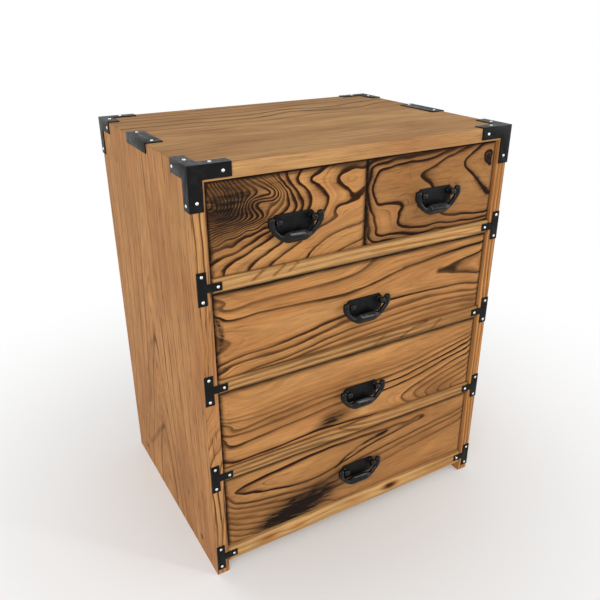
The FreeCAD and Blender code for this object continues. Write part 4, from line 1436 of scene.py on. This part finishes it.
@dataclass
class Handle:
    """A drawer's iron handle: a plate, two posts and a bail that swings on them."""

    drawer: str
    middle: float
    level: float
    reach: float = 5.6
    plate_half: float = 19.2
    plate_up: float = 5.0
    plate_down: float = 12.3
    plate_clip: float = 2.5
    plate_thick: float = 1.5
    plate_rounding: float = 0.45
    post_spacing: float = 32.8
    eye_radius: float = 3.0
    eye_width: float = 5.6
    eye_end: tuple[Point, ...] = ((0.0, 0.55), (0.0, 0.8), (0.2, 0.92), (0.7, 1.0))
    neck_radius: float = 1.5
    collar_steps: tuple[Point, ...] = ((0.2, 1.1), (0.7, 0.7), (1.2, 0.0))
    neck_steps: tuple[Point, ...] = ((2.0, 0.0), (1.0, 0.3))
    ear_place: float = 22.6
    ear_width: float = 6.2
    ear_height: float = 10.4
    ear_crown: float = 2.6
    ear_thick: float = 5.2
    ear_start: float = 1.5
    ear_run: float = 4.0
    arm_drop: float = 4.5
    grip_half: float = 14.0
    grip_drop: float = 13.8
    rod_radius: float = 2.2
    grip_radius: float = 3.95
    grip_tall: float = 4.9
    grip_square: float = 0.6
    swell_rate: float = 1.9
    swell_spare: float = 1.0
    swell_below: float = 4.0
    crown_rises: tuple[float, ...] = (1.0, 0.65, 0.35, 0.12)
    tip: float = 0.02
    bend: float = 4.0
    bend_points: int = 7
    path_step: float = 1.2
    around: int = 28

    def plate(self) -> Piece:
        """Make the back plate with clipped corners and softened edges.

        Returns:
            The plate.
        """
        half, up, down, clip = self.plate_half, self.plate_up, -self.plate_down, self.plate_clip
        outline = [
            (-half + clip, down), (half - clip, down), (half, down + clip), (half, up - clip),
            (half - clip, up), (-half + clip, up), (-half, up - clip), (-half, down + clip),
        ]
        points = [
            (self.middle + across, depth, self.level + rise)
            for depth in (FRONT - self.plate_thick, FRONT)
            for across, rise in outline
        ]
        count = len(outline)
        faces = [list(range(count)), list(range(2 * count - 1, count - 1, -1))]
        for i in range(count):
            j = (i + 1) % count
            faces.append([i, count + i, count + j, j])
        piece = piece_from(f"{self.drawer}_plate", np.array(points), faces)
        return soften(piece, self.plate_rounding, segments=3, angle=30.0)

    def turned(self, rows: list[Point], place: Vector, axis: Vector) -> tuple[list, list]:
        """Turn a profile about an axis.

        Args:
            rows: The profile as (along, radius), from one end to the other.
            place: The axis's start in millimetres.
            axis: The axis's direction.

        Returns:
            The points and the faces.
        """
        spin = axis.to_track_quat("Z", "Y")
        points = [
            place + spin @ Vector((radius * math.cos(turn), radius * math.sin(turn), along))
            for along, radius in rows
            for turn in self.turns()
        ]
        return points, self.tube(len(rows))

    def turns(self) -> list[float]:
        """List the angles of the points round a rod."""
        return [2.0 * math.pi * k / self.around for k in range(self.around)]

    def tube(self, rows: int) -> list[list[int]]:
        """Join the points of a closed rod.

        Args:
            rows: How many rings of points it has.

        Returns:
            The faces between the rings and at both ends.
        """
        count = self.around
        faces = []
        for base in range(0, (rows - 1) * count, count):
            for k in range(count):
                n = (k + 1) % count
                faces.append([base + k, base + n, base + count + n, base + count + k])
        last = (rows - 1) * count
        return faces + [list(range(count))[::-1], list(range(last, last + count))]

    def posts(self) -> Piece:
        """Make the two posts, each a rounded eye on a neck with a small collar.

        Returns:
            The posts as one piece.
        """
        points: list = []
        faces: list = []
        width, thick, round_neck = self.eye_width, self.plate_thick, self.neck_radius
        end = [(inset, share * self.eye_radius) for inset, share in self.eye_end]
        eye = end + [(width - inset, radius) for inset, radius in end[::-1]]
        steps = [(0.0, self.collar_steps[0][1])]
        steps += [(thick + ahead, wider) for ahead, wider in self.collar_steps]
        steps += [(self.reach - back, wider) for back, wider in self.neck_steps]
        neck = [(along, round_neck + wider) for along, wider in steps]
        for side in (-0.5, 0.5):
            x = self.middle + side * self.post_spacing
            for rows, place, axis in (
                (eye, Vector((x - 0.5 * width, FRONT - self.reach, self.level)), Vector((1, 0, 0))),
                (neck, Vector((x, FRONT, self.level)), Vector((0, -1, 0))),
            ):
                more, turned = self.turned(rows, place, axis)
                start = len(points)
                points += more
                faces += [[start + k for k in face] for face in turned]
        piece = piece_from(f"{self.drawer}_posts", np.array([tuple(place) for place in points]), faces)
        smooth(piece, angle=40.0)
        return piece

    def path(self) -> list[Point]:
        """Give the bail's middle line from the left ear to the right, with rounded bends.

        Returns:
            Points across and up from the pivot.
        """
        half = [
            (self.grip_half, -self.grip_drop), (self.ear_place, -self.arm_drop),
            (self.ear_place, 0.5 * self.ear_height - self.ear_crown),
        ]
        stops = [(-across, up) for across, up in half[::-1]] + half
        line: list[Point] = [stops[0]]
        for before, corner, after in zip(stops, stops[1:], stops[2:]):
            knee = Vector(corner)
            start = knee + (Vector(before) - knee).normalized() * self.bend
            end = knee + (Vector(after) - knee).normalized() * self.bend
            for share in np.linspace(0.0, 1.0, self.bend_points):
                spot = start * (1 - share) ** 2 + knee * 2 * share * (1 - share) + end * share ** 2
                line.append((spot.x, spot.y))
        line.append(stops[-1])
        fine: list[Point] = []
        for (a0, b0), (a1, b1) in zip(line, line[1:]):
            count = max(1, round(math.hypot(a1 - a0, b1 - b0) / self.path_step))
            fine += [(a0 + (a1 - a0) * k / count, b0 + (b1 - b0) * k / count) for k in range(count)]
        fine.append(line[-1])
        return fine

    def section(self, across: float, up: float) -> tuple[float, float, float]:
        """Give the bail's half width in its own plane, half thickness and roundness at one place.

        Args:
            across: Millimetres from the middle of the handle.
            up: Millimetres above the pivot.

        Returns:
            Half width, half thickness, and 1 for a round section or less for a squarer one.
        """
        inner = max(0.0, 1.0 - abs(across) / (self.grip_half + self.swell_spare))
        low = up < -self.arm_drop - self.swell_below
        swell = eased(min(1.0, self.swell_rate * inner)) if low else 0.0
        ear = eased(min(1.0, max(0.0, (up + self.arm_drop + self.ear_start) / self.ear_run)))
        width = self.rod_radius + ear * (0.5 * self.ear_width - self.rod_radius)
        thick = self.rod_radius + ear * (0.5 * self.ear_thick - self.rod_radius)
        width += swell * (self.grip_tall - self.rod_radius)
        thick += swell * (self.grip_radius - self.rod_radius)
        return width, thick, 1.0 - swell * (1.0 - self.grip_square)

    @staticmethod
    def rim_place(turn: float, power: float) -> Point:
        """Give a place on a section that reaches 1: round, or squarer and set on its corner.

        Args:
            turn: The angle round the section.
            power: 1 for a round section, less for a squarer one.

        Returns:
            The place across and ahead.
        """
        first, second = math.cos(turn - 0.25 * math.pi), math.sin(turn - 0.25 * math.pi)
        reach = 2.0 ** (1.0 - 0.5 * power)
        first = math.copysign(abs(first) ** power, first) / reach
        second = math.copysign(abs(second) ** power, second) / reach
        return first - second, first + second

    def bail(self) -> Piece:
        """Make the bail as one rod that swells at the grip and widens to the ears.

        Returns:
            The bail, hanging down.
        """
        line = self.path()
        caps = [(rise, max(math.sqrt(1.0 - rise ** 2), self.tip)) for rise in self.crown_rises]
        first, last = (
            [((across, up + self.ear_crown * rise), share) for rise, share in caps]
            for across, up in (line[0], line[-1])
        )
        rows = first + [(spot, 1.0) for spot in line] + last[::-1]
        points = []
        for number, (spot, out) in enumerate(rows):
            before = Vector(rows[max(0, number - 1)][0])
            after = Vector(rows[min(len(rows) - 1, number + 1)][0])
            run = (after - before).normalized()
            side = Vector((-run.y, run.x))
            wide, thick, power = self.section(*spot)
            for turn in self.turns():
                over, ahead = self.rim_place(turn, power)
                push = side * (wide * out * over)
                depth = FRONT - self.reach - thick * out * ahead
                points.append((self.middle + spot[0] + push.x, depth, self.level + spot[1] + push.y))
        piece = piece_from(f"{self.drawer}_grip", np.array(points), self.tube(len(rows)))
        smooth(piece, angle=60.0)
        return piece


@dataclass
class Drawer:
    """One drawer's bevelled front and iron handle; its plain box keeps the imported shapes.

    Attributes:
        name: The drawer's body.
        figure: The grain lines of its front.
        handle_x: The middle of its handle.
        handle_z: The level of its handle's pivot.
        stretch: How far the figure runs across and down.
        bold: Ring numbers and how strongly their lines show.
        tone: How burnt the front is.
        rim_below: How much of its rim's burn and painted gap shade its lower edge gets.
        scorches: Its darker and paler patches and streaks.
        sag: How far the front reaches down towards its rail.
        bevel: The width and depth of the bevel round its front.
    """

    name: str
    figure: Figure
    handle_x: float
    handle_z: float
    stretch: Point = (1.2, 1.0)
    bold: tuple[Point, ...] = ((0.0, 1.0),)
    tone: float = 0.0
    rim_below: float = 0.15
    scorches: tuple[Scorch | Streak, ...] = ()
    sag: float = 0.75
    bevel: Point = (8.0, 2.5)

    def build(self, cedar: Finish, iron: Finish, rubbed: Finish) -> None:
        """Build and dress the front and the handle.

        Args:
            cedar: The front's finish.
            iron: The plate's finish.
            rubbed: The finish of the posts and the bail, which hands rub.
        """
        node = f"{self.name}_front"
        # The front's rim is darkened partly as burn, partly as painted shade in the gap round the drawer.
        front = Board(
            node, self.name, Face.FRONT, *corners(node, self.sag), self.figure, stretch=self.stretch,
            bold=self.bold, tone=self.tone, scorches=self.scorches, steps=(1.5, 3.0, 1.5),
            bevel=self.bevel, burn=1.0, rim_shares=(1.0, 1.0, self.rim_below),
        )
        fit_out(front.build(), self.name, "burnt_cedar", cedar, node)
        handle = Handle(self.name, self.handle_x, self.handle_z)
        fit_out(handle.plate(), self.name, "black_iron", iron, f"{self.name}_handle_plate")
        fit_out(handle.posts(), self.name, "black_iron", rubbed, f"{self.name}_handle_posts")
        fit_out(handle.bail(), f"{self.name}_bail", "black_iron", rubbed, f"{self.name}_handle_bail")


def drawers() -> list[Drawer]:
    """List the five drawers with the grain figures of their fronts.

    Returns:
        The drawers from the top down.
    """
    return [
        Drawer(
            "upper_left_drawer", UPPER_LEFT_FIGURE, -73.5, 348.5,
            bold=((2, 1.0), (3, 0.7), (4, 0.7), (5, 1.0)),
            scorches=(
                Scorch((26, 34), (48, 46), 0.95),
                Scorch((58, 30), (30, 26), 0.22),
                Scorch((60, 78), (60, 22), -0.2, -20.0),
                Scorch((140, 75), (40, 30), -0.2),
            ),
        ),
        Drawer(
            "upper_right_drawer", UPPER_RIGHT_FIGURE, 73.5, 348.5, tone=0.3, rim_below=0.6,
            bold=((1, 1.25), (4, 1.4), (5, 1.2), (6, 1.1)),
            scorches=(
                Scorch((297, 27), (8, 11), 1.0, 15.0),
                Streak(((284, 46), (292, 55), (300, 62)), 5.0, 0.6),
                Scorch((180, 66), (26, 20), -0.3),
                Scorch((200, 76), (24, 12), 0.2),
            ),
        ),
        Drawer(
            "second_drawer", SECOND_FIGURE, 0.0, 256.5, stretch=(3.0, 1.0), tone=0.02,
            bold=((1, 1.0), (2, 1.0), (3, 0.8), (6, 0.55)),
            scorches=(
                Streak(((248, 131.5), (258, 132), (268, 134)), 4.5, 0.7),
                Streak(((262, 131), (285, 128), (306, 125)), 5.0, 0.3),
                Streak(((268, 135), (288, 140), (306, 145)), 5.0, 0.3),
                Streak(((205, 119), (230, 116.5), (262, 112.8), (306, 111)), 4.0, 0.45),
                Scorch((90, 145), (90, 16), -0.3),
                Scorch((300, 178), (30, 16), 0.25),
                Streak(((13, 121), (17, 130), (19.5, 142), (17.5, 153), (13, 164)), 3.2, 0.9),
                Scorch((12, 142), (9, 24), 0.5),
            ),
        ),
        Drawer(
            "third_drawer", THIRD_FIGURE, 0.0, 163.0, stretch=(3.0, 1.0), tone=0.03,
            bold=((0, 0.75), (4, 0.85), (5, 1.0), (6, 0.95), (7, 0.75), (8, 0.5), (9, 0.3), (10, 0.12)),
            scorches=(
                Scorch((130, 263), (30, 14), 0.95, -6.0),
                Scorch((166, 267), (14, 7), -0.7),
                Scorch((262, 270), (40, 16), 0.35),
                Scorch((90, 208), (120, 18), -0.25),
                Scorch((60, 262), (50, 9), -0.2),
            ),
        ),
        Drawer(
            "bottom_drawer", BOTTOM_FIGURE, 0.0, 69.5, stretch=(2.6, 1.0), tone=0.21,
            bold=((0.6, 1.0), (1, 1.0), (2, 0.8), (4, 0.6), (8, 0.7)),
            scorches=(
                Scorch((90, 356), (54, 30), 1.25, -14.0),
                Scorch((60, 362), (40, 18), 0.5),
                Scorch((128, 344), (30, 26), 0.4),
                Streak(((134, 324), (146, 315), (162, 308), (180, 304), (197, 301.5)), 2.4, 0.8),
                Scorch((190, 303), (16, 4), 0.5, -8.0),
                Scorch((243, 300.5), (8, 3.5), 0.6),
                Scorch((28, 308), (8, 4), 0.3),
                Scorch((80, 306), (60, 9), -0.25),
                Scorch((250, 345), (60, 22), -0.1),
            ),
        ),
    ]


class Scatter(Wiring):
    """A Geometry Nodes tree that sets a small shape on every point of a cloud."""

    SCALES = (0.9, 1.0)
    SPINS = (0.0, 6.28)

    def __init__(self, name: str) -> None:
        """Start the tree with its geometry sockets.

        Args:
            name: The tree's name.
        """
        super().__init__(bpy.data.node_groups.new(name, "GeometryNodeTree"))
        self.inputs: dict[str, str] = {}
        for way in ("INPUT", "OUTPUT"):
            self.tree.interface.new_socket("Geometry", in_out=way, socket_type="NodeSocketGeometry")
        self.start = self.node("NodeGroupInput")
        self.end = self.node("NodeGroupOutput")

    def size(self, name: str) -> Socket:
        """Add a named size to the tree.

        Args:
            name: The size's name.

        Returns:
            The socket that gives it.
        """
        made = self.tree.interface.new_socket(name, in_out="INPUT", socket_type="NodeSocketFloat")
        self.inputs[name] = made.identifier
        return self.start.outputs[name]

    def finish(self, shape: bpy.types.Node, seed: int, finish: Finish) -> None:
        """Set the shape on the points, facing along their own direction, and end the tree.

        Args:
            shape: The node that gives the shape, facing up.
            seed: The seed of the small differences between the copies.
            finish: The copies' material.
        """
        facing = self.node("GeometryNodeInputNamedAttribute", {"Name": "facing"}, data_type="FLOAT_VECTOR")
        turn = self.node("FunctionNodeAlignRotationToVector", {"Vector": facing}, axis="Z")
        vary, spin = (
            self.node("FunctionNodeRandomValue", {2: low, 3: high, "Seed": number}).outputs[1]
            for number, (low, high) in enumerate((self.SCALES, self.SPINS), seed)
        )
        about = self.node("FunctionNodeAxisAngleToRotation", {"Axis": (0.0, 0.0, 1.0), "Angle": spin})
        both = self.node("FunctionNodeRotateRotation", {0: turn, 1: about}, rotation_space="LOCAL")
        points = self.start.outputs["Geometry"]
        inputs = {"Points": points, "Instance": shape, "Rotation": both, "Scale": vary}
        placed = self.node("GeometryNodeInstanceOnPoints", inputs)
        real = self.node("GeometryNodeRealizeInstances", {"Geometry": placed})
        dressed = self.node("GeometryNodeSetMaterial", {"Geometry": real, "Material": finish})
        self.put(self.end.inputs[0], dressed)

    def grow(self, name: str, spots: list[Spot], sizes: dict[str, float]) -> Piece:
        """Run the tree on a cloud of points and keep the plain mesh.

        Args:
            name: The piece's name.
            spots: The points in millimetres, each with the direction that it faces.
            sizes: The named sizes in millimetres.

        Returns:
            The piece.
        """
        places, ways = zip(*spots)
        piece = piece_from(name, np.array(places), [])
        facing = piece.data.attributes.new("facing", "FLOAT_VECTOR", "POINT")
        facing.data.foreach_set("vector", np.array(ways, np.float32).ravel())
        grown = piece.modifiers.new("grow", "NODES")
        grown.node_group = self.tree
        for key, value in sizes.items():
            grown[self.inputs[key]] = value * MM
        return settle(piece)


@dataclass
class Ironwork:
    """The iron plates on the case, with the nails and screws that hold them and the boards."""

    sheet: float = 1.0
    rounding: float = 0.22
    nail_inset: float = 5.25
    side_nail: float = 30.0
    top_nail: float = 19.5
    front_nail: float = 27.3
    tee_levels: tuple[float, ...] = (21.0, 116.25, 209.75, 303.25)
    tee_bar_nail: float = 155.5
    tee_rise: float = 10.8
    tee_leg_nail: float = 142.0
    strap_nail: float = 152.5
    strap_depths: Point = (99.5, 140.5)
    head_width: float = 3.0
    head_height: float = 0.8
    nail_seed: int = 11
    screw_width: float = 6.4
    # Shares of a screw's width: its depth, its slots' length, width and depth, and how high they lie.
    screw_depth: float = 0.22
    slot: Place = (0.62, 0.15, 0.2)
    slot_lift: float = 0.12
    screw_seed: int = 23
    plates: tuple[str, ...] = (
        "front_left_corner_plate", "rear_left_corner_plate", "front_right_corner_plate",
        "rear_right_corner_plate", "rail_tee_plates", "top_edge_straps",
    )

    def nail_spots(self) -> list[Spot]:
        """List the nails.

        Returns:
            The middle of each nail's foot on its plate, and the way that the nail faces.
        """
        spots: list[Spot] = []
        inset = self.nail_inset
        up, ahead = (0.0, 0.0, 1.0), (0.0, -1.0, 0.0)
        over, face = HEIGHT + self.sheet, FRONT - self.sheet
        for side in (-1.0, 1.0):
            for end, back in ((FRONT, 1.0), (FRONT + DEPTH, -1.0)):
                for along, down in ((self.side_nail, inset), (inset, self.side_nail)):
                    place = (side * (HALF_WIDTH + self.sheet), end + back * along, HEIGHT - down)
                    spots.append((place, (side, 0.0, 0.0)))
                for across, along in ((self.top_nail, inset), (inset, self.top_nail)):
                    spots.append(((side * (HALF_WIDTH - across), end + back * along, over), up))
            for across, down in ((self.front_nail, inset), (inset, self.front_nail)):
                spots.append(((side * (HALF_WIDTH - across), face, HEIGHT - down), ahead))
            for level in self.tee_levels:
                for rise in (-self.tee_rise, self.tee_rise):
                    spots.append(((side * self.tee_bar_nail, face, level + rise), ahead))
                spots.append(((side * self.tee_leg_nail, face, level), ahead))
            for depth in self.strap_depths:
                spots.append(((side * self.strap_nail, FRONT + depth, over), up))
        return spots

    def screw_spots(self) -> list[Spot]:
        """List the screws.

        Returns:
            The middle of each well's floor, and the way that the screw faces.
        """
        sink = Board.WELL_DEPTH
        spots = [
            ((side * (HALF_WIDTH - sink), FRONT + depth, SCREW_LEVEL), (side, 0.0, 0.0))
            for side in (-1.0, 1.0)
            for depth in SCREW_DEPTHS
        ]
        return spots + [((0.0, FRONT + DEPTH - sink, SCREW_LEVEL), (0.0, 1.0, 0.0))]

    def nails(self, finish: Finish) -> Piece:
        """Grow the domed nail heads.

        Args:
            finish: Their material.

        Returns:
            All the nails as one piece.
        """
        scatter = Scatter("domed_nails")
        width, height = scatter.size("Head width"), scatter.size("Head height")
        ball = scatter.node("GeometryNodeMeshUVSphere", {"Segments": 16, "Rings": 10, "Radius": 1.0})
        half = scatter.times(width, 0.5)
        scale = scatter.node("ShaderNodeCombineXYZ", {0: half, 1: half, 2: height})
        dome = scatter.node("GeometryNodeTransform", {"Geometry": ball, "Scale": scale})
        shaded = scatter.node("GeometryNodeSetShadeSmooth", {"Geometry": dome})
        scatter.finish(shaded, self.nail_seed, finish)
        sizes = {"Head width": self.head_width, "Head height": self.head_height}
        return scatter.grow("nail_heads", self.nail_spots(), sizes)

    def screws(self, finish: Finish) -> Piece:
        """Grow the sunk screw heads with their crossed slots.

        Args:
            finish: Their material.

        Returns:
            All the screws as one piece.
        """
        scatter = Scatter("sunk_screws")
        width = scatter.size("Head width")
        half = scatter.times(width, 0.5)
        depth = scatter.times(width, self.screw_depth)
        inputs = {"Vertices": 32, "Radius": half, "Depth": depth}
        disc = scatter.node("GeometryNodeMeshCylinder", inputs)
        cut = scatter.node("GeometryNodeMeshBoolean", {0: disc}, operation="DIFFERENCE")
        long, narrow, deep = self.slot
        for sides in ((long, narrow, deep), (narrow, long, deep)):
            inputs = {axis: scatter.times(width, share) for axis, share in enumerate(sides)}
            size = scatter.node("ShaderNodeCombineXYZ", inputs)
            block = scatter.node("GeometryNodeMeshCube", {"Size": size})
            lift = scatter.node("ShaderNodeCombineXYZ", {2: scatter.times(width, self.slot_lift)})
            inputs = {"Geometry": block, "Translation": lift}
            scatter.put(cut.inputs[1], scatter.node("GeometryNodeTransform", inputs))
        scatter.finish(cut, self.screw_seed, finish)
        return scatter.grow("screw_heads", self.screw_spots(), {"Head width": self.screw_width})

    def build(self, iron: Finish, bright: Finish, dark: Finish) -> None:
        """Build and dress the plates, nails and screws.

        Args:
            iron: The plates' finish.
            bright: The nails' finish.
            dark: The screws' finish.
        """
        for node in self.plates:
            fit_out(own_copy(node, f"{node}_iron", self.rounding), "case", "black_iron", iron, node)
        fit_out(self.nails(bright), "case", "bright_steel", bright, "plate_nails")
        fit_out(self.screws(dark), "case", "dark_steel", dark, "case_screws")


@dataclass
class PlainWoodwork:
    """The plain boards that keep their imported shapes: the back, the inside and the drawer boxes."""

    drawer_names: tuple[str, ...]
    grains: dict[str, Grain] = field(default_factory=lambda: {
        "bottom_board": Grain.ALONG_X,
        "drawer_partition": Grain.ALONG_Y,
        "drawer_runners": Grain.ALONG_Y,
    })

    def dress(self) -> None:
        """Give every plain node its finish."""
        planed = {
            grain: PlanedWood(f"planed_wood_{grain.name.lower()}", grain).material() for grain in Grain
        }
        back_ply = PlanedWood(
            "back_ply", Grain.ALONG_Z, light=(0.60, 0.335, 0.108), deep=(0.38, 0.195, 0.055), bands=150.0,
            contrast=0.45, broad=0.5,
        ).material()
        floor_ply = PlanedWood(
            "drawer_ply", Grain.ALONG_X, light=(0.56, 0.38, 0.2), deep=(0.45, 0.28, 0.13)
        ).material()
        chosen = {node: planed[grain] for node, grain in self.grains.items()}
        chosen["back_panel"] = back_ply
        for name in self.drawer_names:
            chosen[f"{name}_left_side"] = planed[Grain.ALONG_Y]
            chosen[f"{name}_right_side"] = planed[Grain.ALONG_Y]
            chosen[f"{name}_back"] = planed[Grain.ALONG_X]
            chosen[f"{name}_bottom"] = floor_ply
        for node, finish in chosen.items():
            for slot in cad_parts[node].material_slots:
                slot.material = finish
            log.info("%s keeps its shape in %s", node, finish.name)


@dataclass
class Studio:
    """A pale floor, soft lamps and the camera at the photograph's place."""

    lens: float = 39.27
    stand: Place = (-0.3213, -0.5557, 0.5127)
    look: Place = (0.4521, 0.7840, -0.4253)
    roll: float = -0.16
    floor_half: float = 8.0
    floor_colour: Colour = (0.93, 0.92, 0.905)
    floor_shade: float = 0.97
    white: Colour = (1.0, 1.0, 1.0)
    sky_light: float = 0.45
    floor_reach: Point = (0.0, 0.62)
    aim: Place = (0.0, 0.0, 0.2)
    lamps: tuple[tuple[str, Place, Point, float], ...] = (
        ("key", (-1.3, -1.5, 0.8), (1.4, 1.4), 19.5),
        ("fill", (1.8, -1.0, 0.7), (1.4, 1.4), 10.5),
        ("rear", (-0.9, 2.0, 1.1), (1.4, 1.4), 14.5),
        ("strip", (0.7, -1.03, 1.12), (0.08, 0.9), 3.6),
    )

    def build(self) -> None:
        """Set up the floor, the lamps, the world and the camera."""
        self.floor()
        for lamp in self.lamps:
            self.lamp(*lamp)
        self.world()
        self.camera()
        bpy.context.scene.view_settings.view_transform = "Standard"

    def floor(self) -> None:
        """Lay the pale floor."""
        half = self.floor_half / MM
        points = np.array([(-half, -half, 0.0), (half, -half, 0.0), (half, half, 0.0), (-half, half, 0.0)])
        floor = piece_from("floor", points, [[0, 1, 2, 3]])
        bench = Bench("pale_floor")
        deeper = tuple(self.floor_shade * value for value in self.floor_colour)
        colour = bench.mix(bench.mottle(scale=3.0), self.floor_colour, deeper)
        bench.set(Base_Color=colour, Roughness=0.75)
        away = bench.node("ShaderNodeVectorMath", {0: bench.places((1.0, 1.0, 1.0))}, operation="LENGTH")
        far = bench.fade(away.outputs["Value"], *self.floor_reach)
        glow = bench.node("ShaderNodeEmission", {"Color": self.white, "Strength": 1.0})
        share = bench.times(far, bench.seen())
        ends = bench.node("ShaderNodeMixShader", {0: share, 1: bench.shader, 2: glow})
        bench.put(bench.tree.nodes["Material Output"].inputs["Surface"], ends)
        floor.data.materials.append(bench.material)

    def lamp(self, name: str, place: Place, size: Point, power: float) -> None:
        """Hang a soft lamp that faces the chest.

        Args:
            name: The lamp's name.
            place: Where it hangs, in metres.
            size: Its width and height, in metres.
            power: Its power in watts.
        """
        light = bpy.data.lights.new(name, "AREA")
        light.shape = "RECTANGLE"
        light.size, light.size_y = size
        light.energy = power
        lamp = added(name, light)
        lamp.location = place
        lamp.rotation_euler = (Vector(self.aim) - Vector(place)).to_track_quat("-Z", "Y").to_euler()

    def world(self) -> None:
        """Give the room soft light from all round, and white where the camera sees past the floor."""
        world = bpy.data.worlds.new("room")
        bpy.context.scene.world = world
        world.use_nodes = True
        world.node_tree.nodes.clear()
        wires = Wiring(world.node_tree)
        room = wires.node("ShaderNodeBackground", {"Color": self.white, "Strength": self.sky_light})
        clear = wires.node("ShaderNodeBackground", {"Color": self.white, "Strength": 1.0})
        ends = wires.node("ShaderNodeMixShader", {0: wires.seen(), 1: room, 2: clear})
        wires.node("ShaderNodeOutputWorld", {"Surface": ends})

    def camera(self) -> None:
        """Set the camera at the photograph's place."""
        lens = bpy.data.cameras.new("camera")
        lens.sensor_width = 36.0
        lens.lens = self.lens
        lens.clip_start = 0.01
        lens.clip_end = 100.0
        camera = added("camera", lens)
        turn = Vector(self.look).to_track_quat("-Z", "Y").to_matrix().to_4x4()
        roll = Matrix.Rotation(math.radians(self.roll), 4, "Z")
        camera.matrix_world = Matrix.Translation(self.stand) @ turn @ roll
        bpy.context.scene.camera = camera


def main() -> None:
    """Build the chest's pieces in order, then the studio, logging each piece as it is dressed."""
    logging.basicConfig(level=logging.INFO, format="%(name)s: %(message)s")
    cedar = {
        Cut.LEVEL: BurntCedar("burnt_cedar_level", Grain.ALONG_X).material(),
        # Greyer honey, amber and russet for the top: painted sheen of the pale room over its own colour.
        Cut.FADED_LEVEL: BurntCedar(
            "burnt_cedar_faded", Grain.ALONG_X, honey=(0.53, 0.292, 0.118), amber=(0.42, 0.214, 0.084),
            russet=(0.36, 0.156, 0.067),
        ).material(),
        Cut.BOLD_UPRIGHT: BurntCedar(
            "burnt_cedar_bold", Grain.ALONG_Z, line_core=0.8, line_width=2.4, shade_width=6.0,
            shade_share=0.3, waver=0.8, evenness=(1.1, 0.85), honey=(0.59, 0.27, 0.088),
            amber=(0.465, 0.197, 0.062),
        ).material(),
        Cut.QUIET_UPRIGHT: BurntCedar(
            "burnt_cedar_upright", Grain.ALONG_Z, line_core=0.3, line_width=1.9, shade_width=5.0,
            shade_share=0.35, fleck_share=0.6, evenness=(1.6, 0.4), honey=(0.53, 0.262, 0.102),
            amber=(0.42, 0.192, 0.073),
        ).material(),
    }
    iron = BlackIron("black_iron").material()
    rubbed = BlackIron("rubbed_iron", gloss=0.03, sheen=0.2, grain=0.008).material()
    bright = NailSteel("bright_nail_steel", (0.80, 0.80, 0.78), (0.55, 0.54, 0.52)).material()
    dark = NailSteel("dark_screw_steel", (0.06, 0.05, 0.045), (0.03, 0.026, 0.024), 0.4).material()
    Case().build(cedar)
    chest_drawers = drawers()
    for drawer in chest_drawers:
        drawer.build(cedar[Cut.LEVEL], iron, rubbed)
    Ironwork().build(iron, bright, dark)
    PlainWoodwork(tuple(drawer.name for drawer in chest_drawers)).dress()
    Studio().build()


if __name__ == "__main__":
    main()
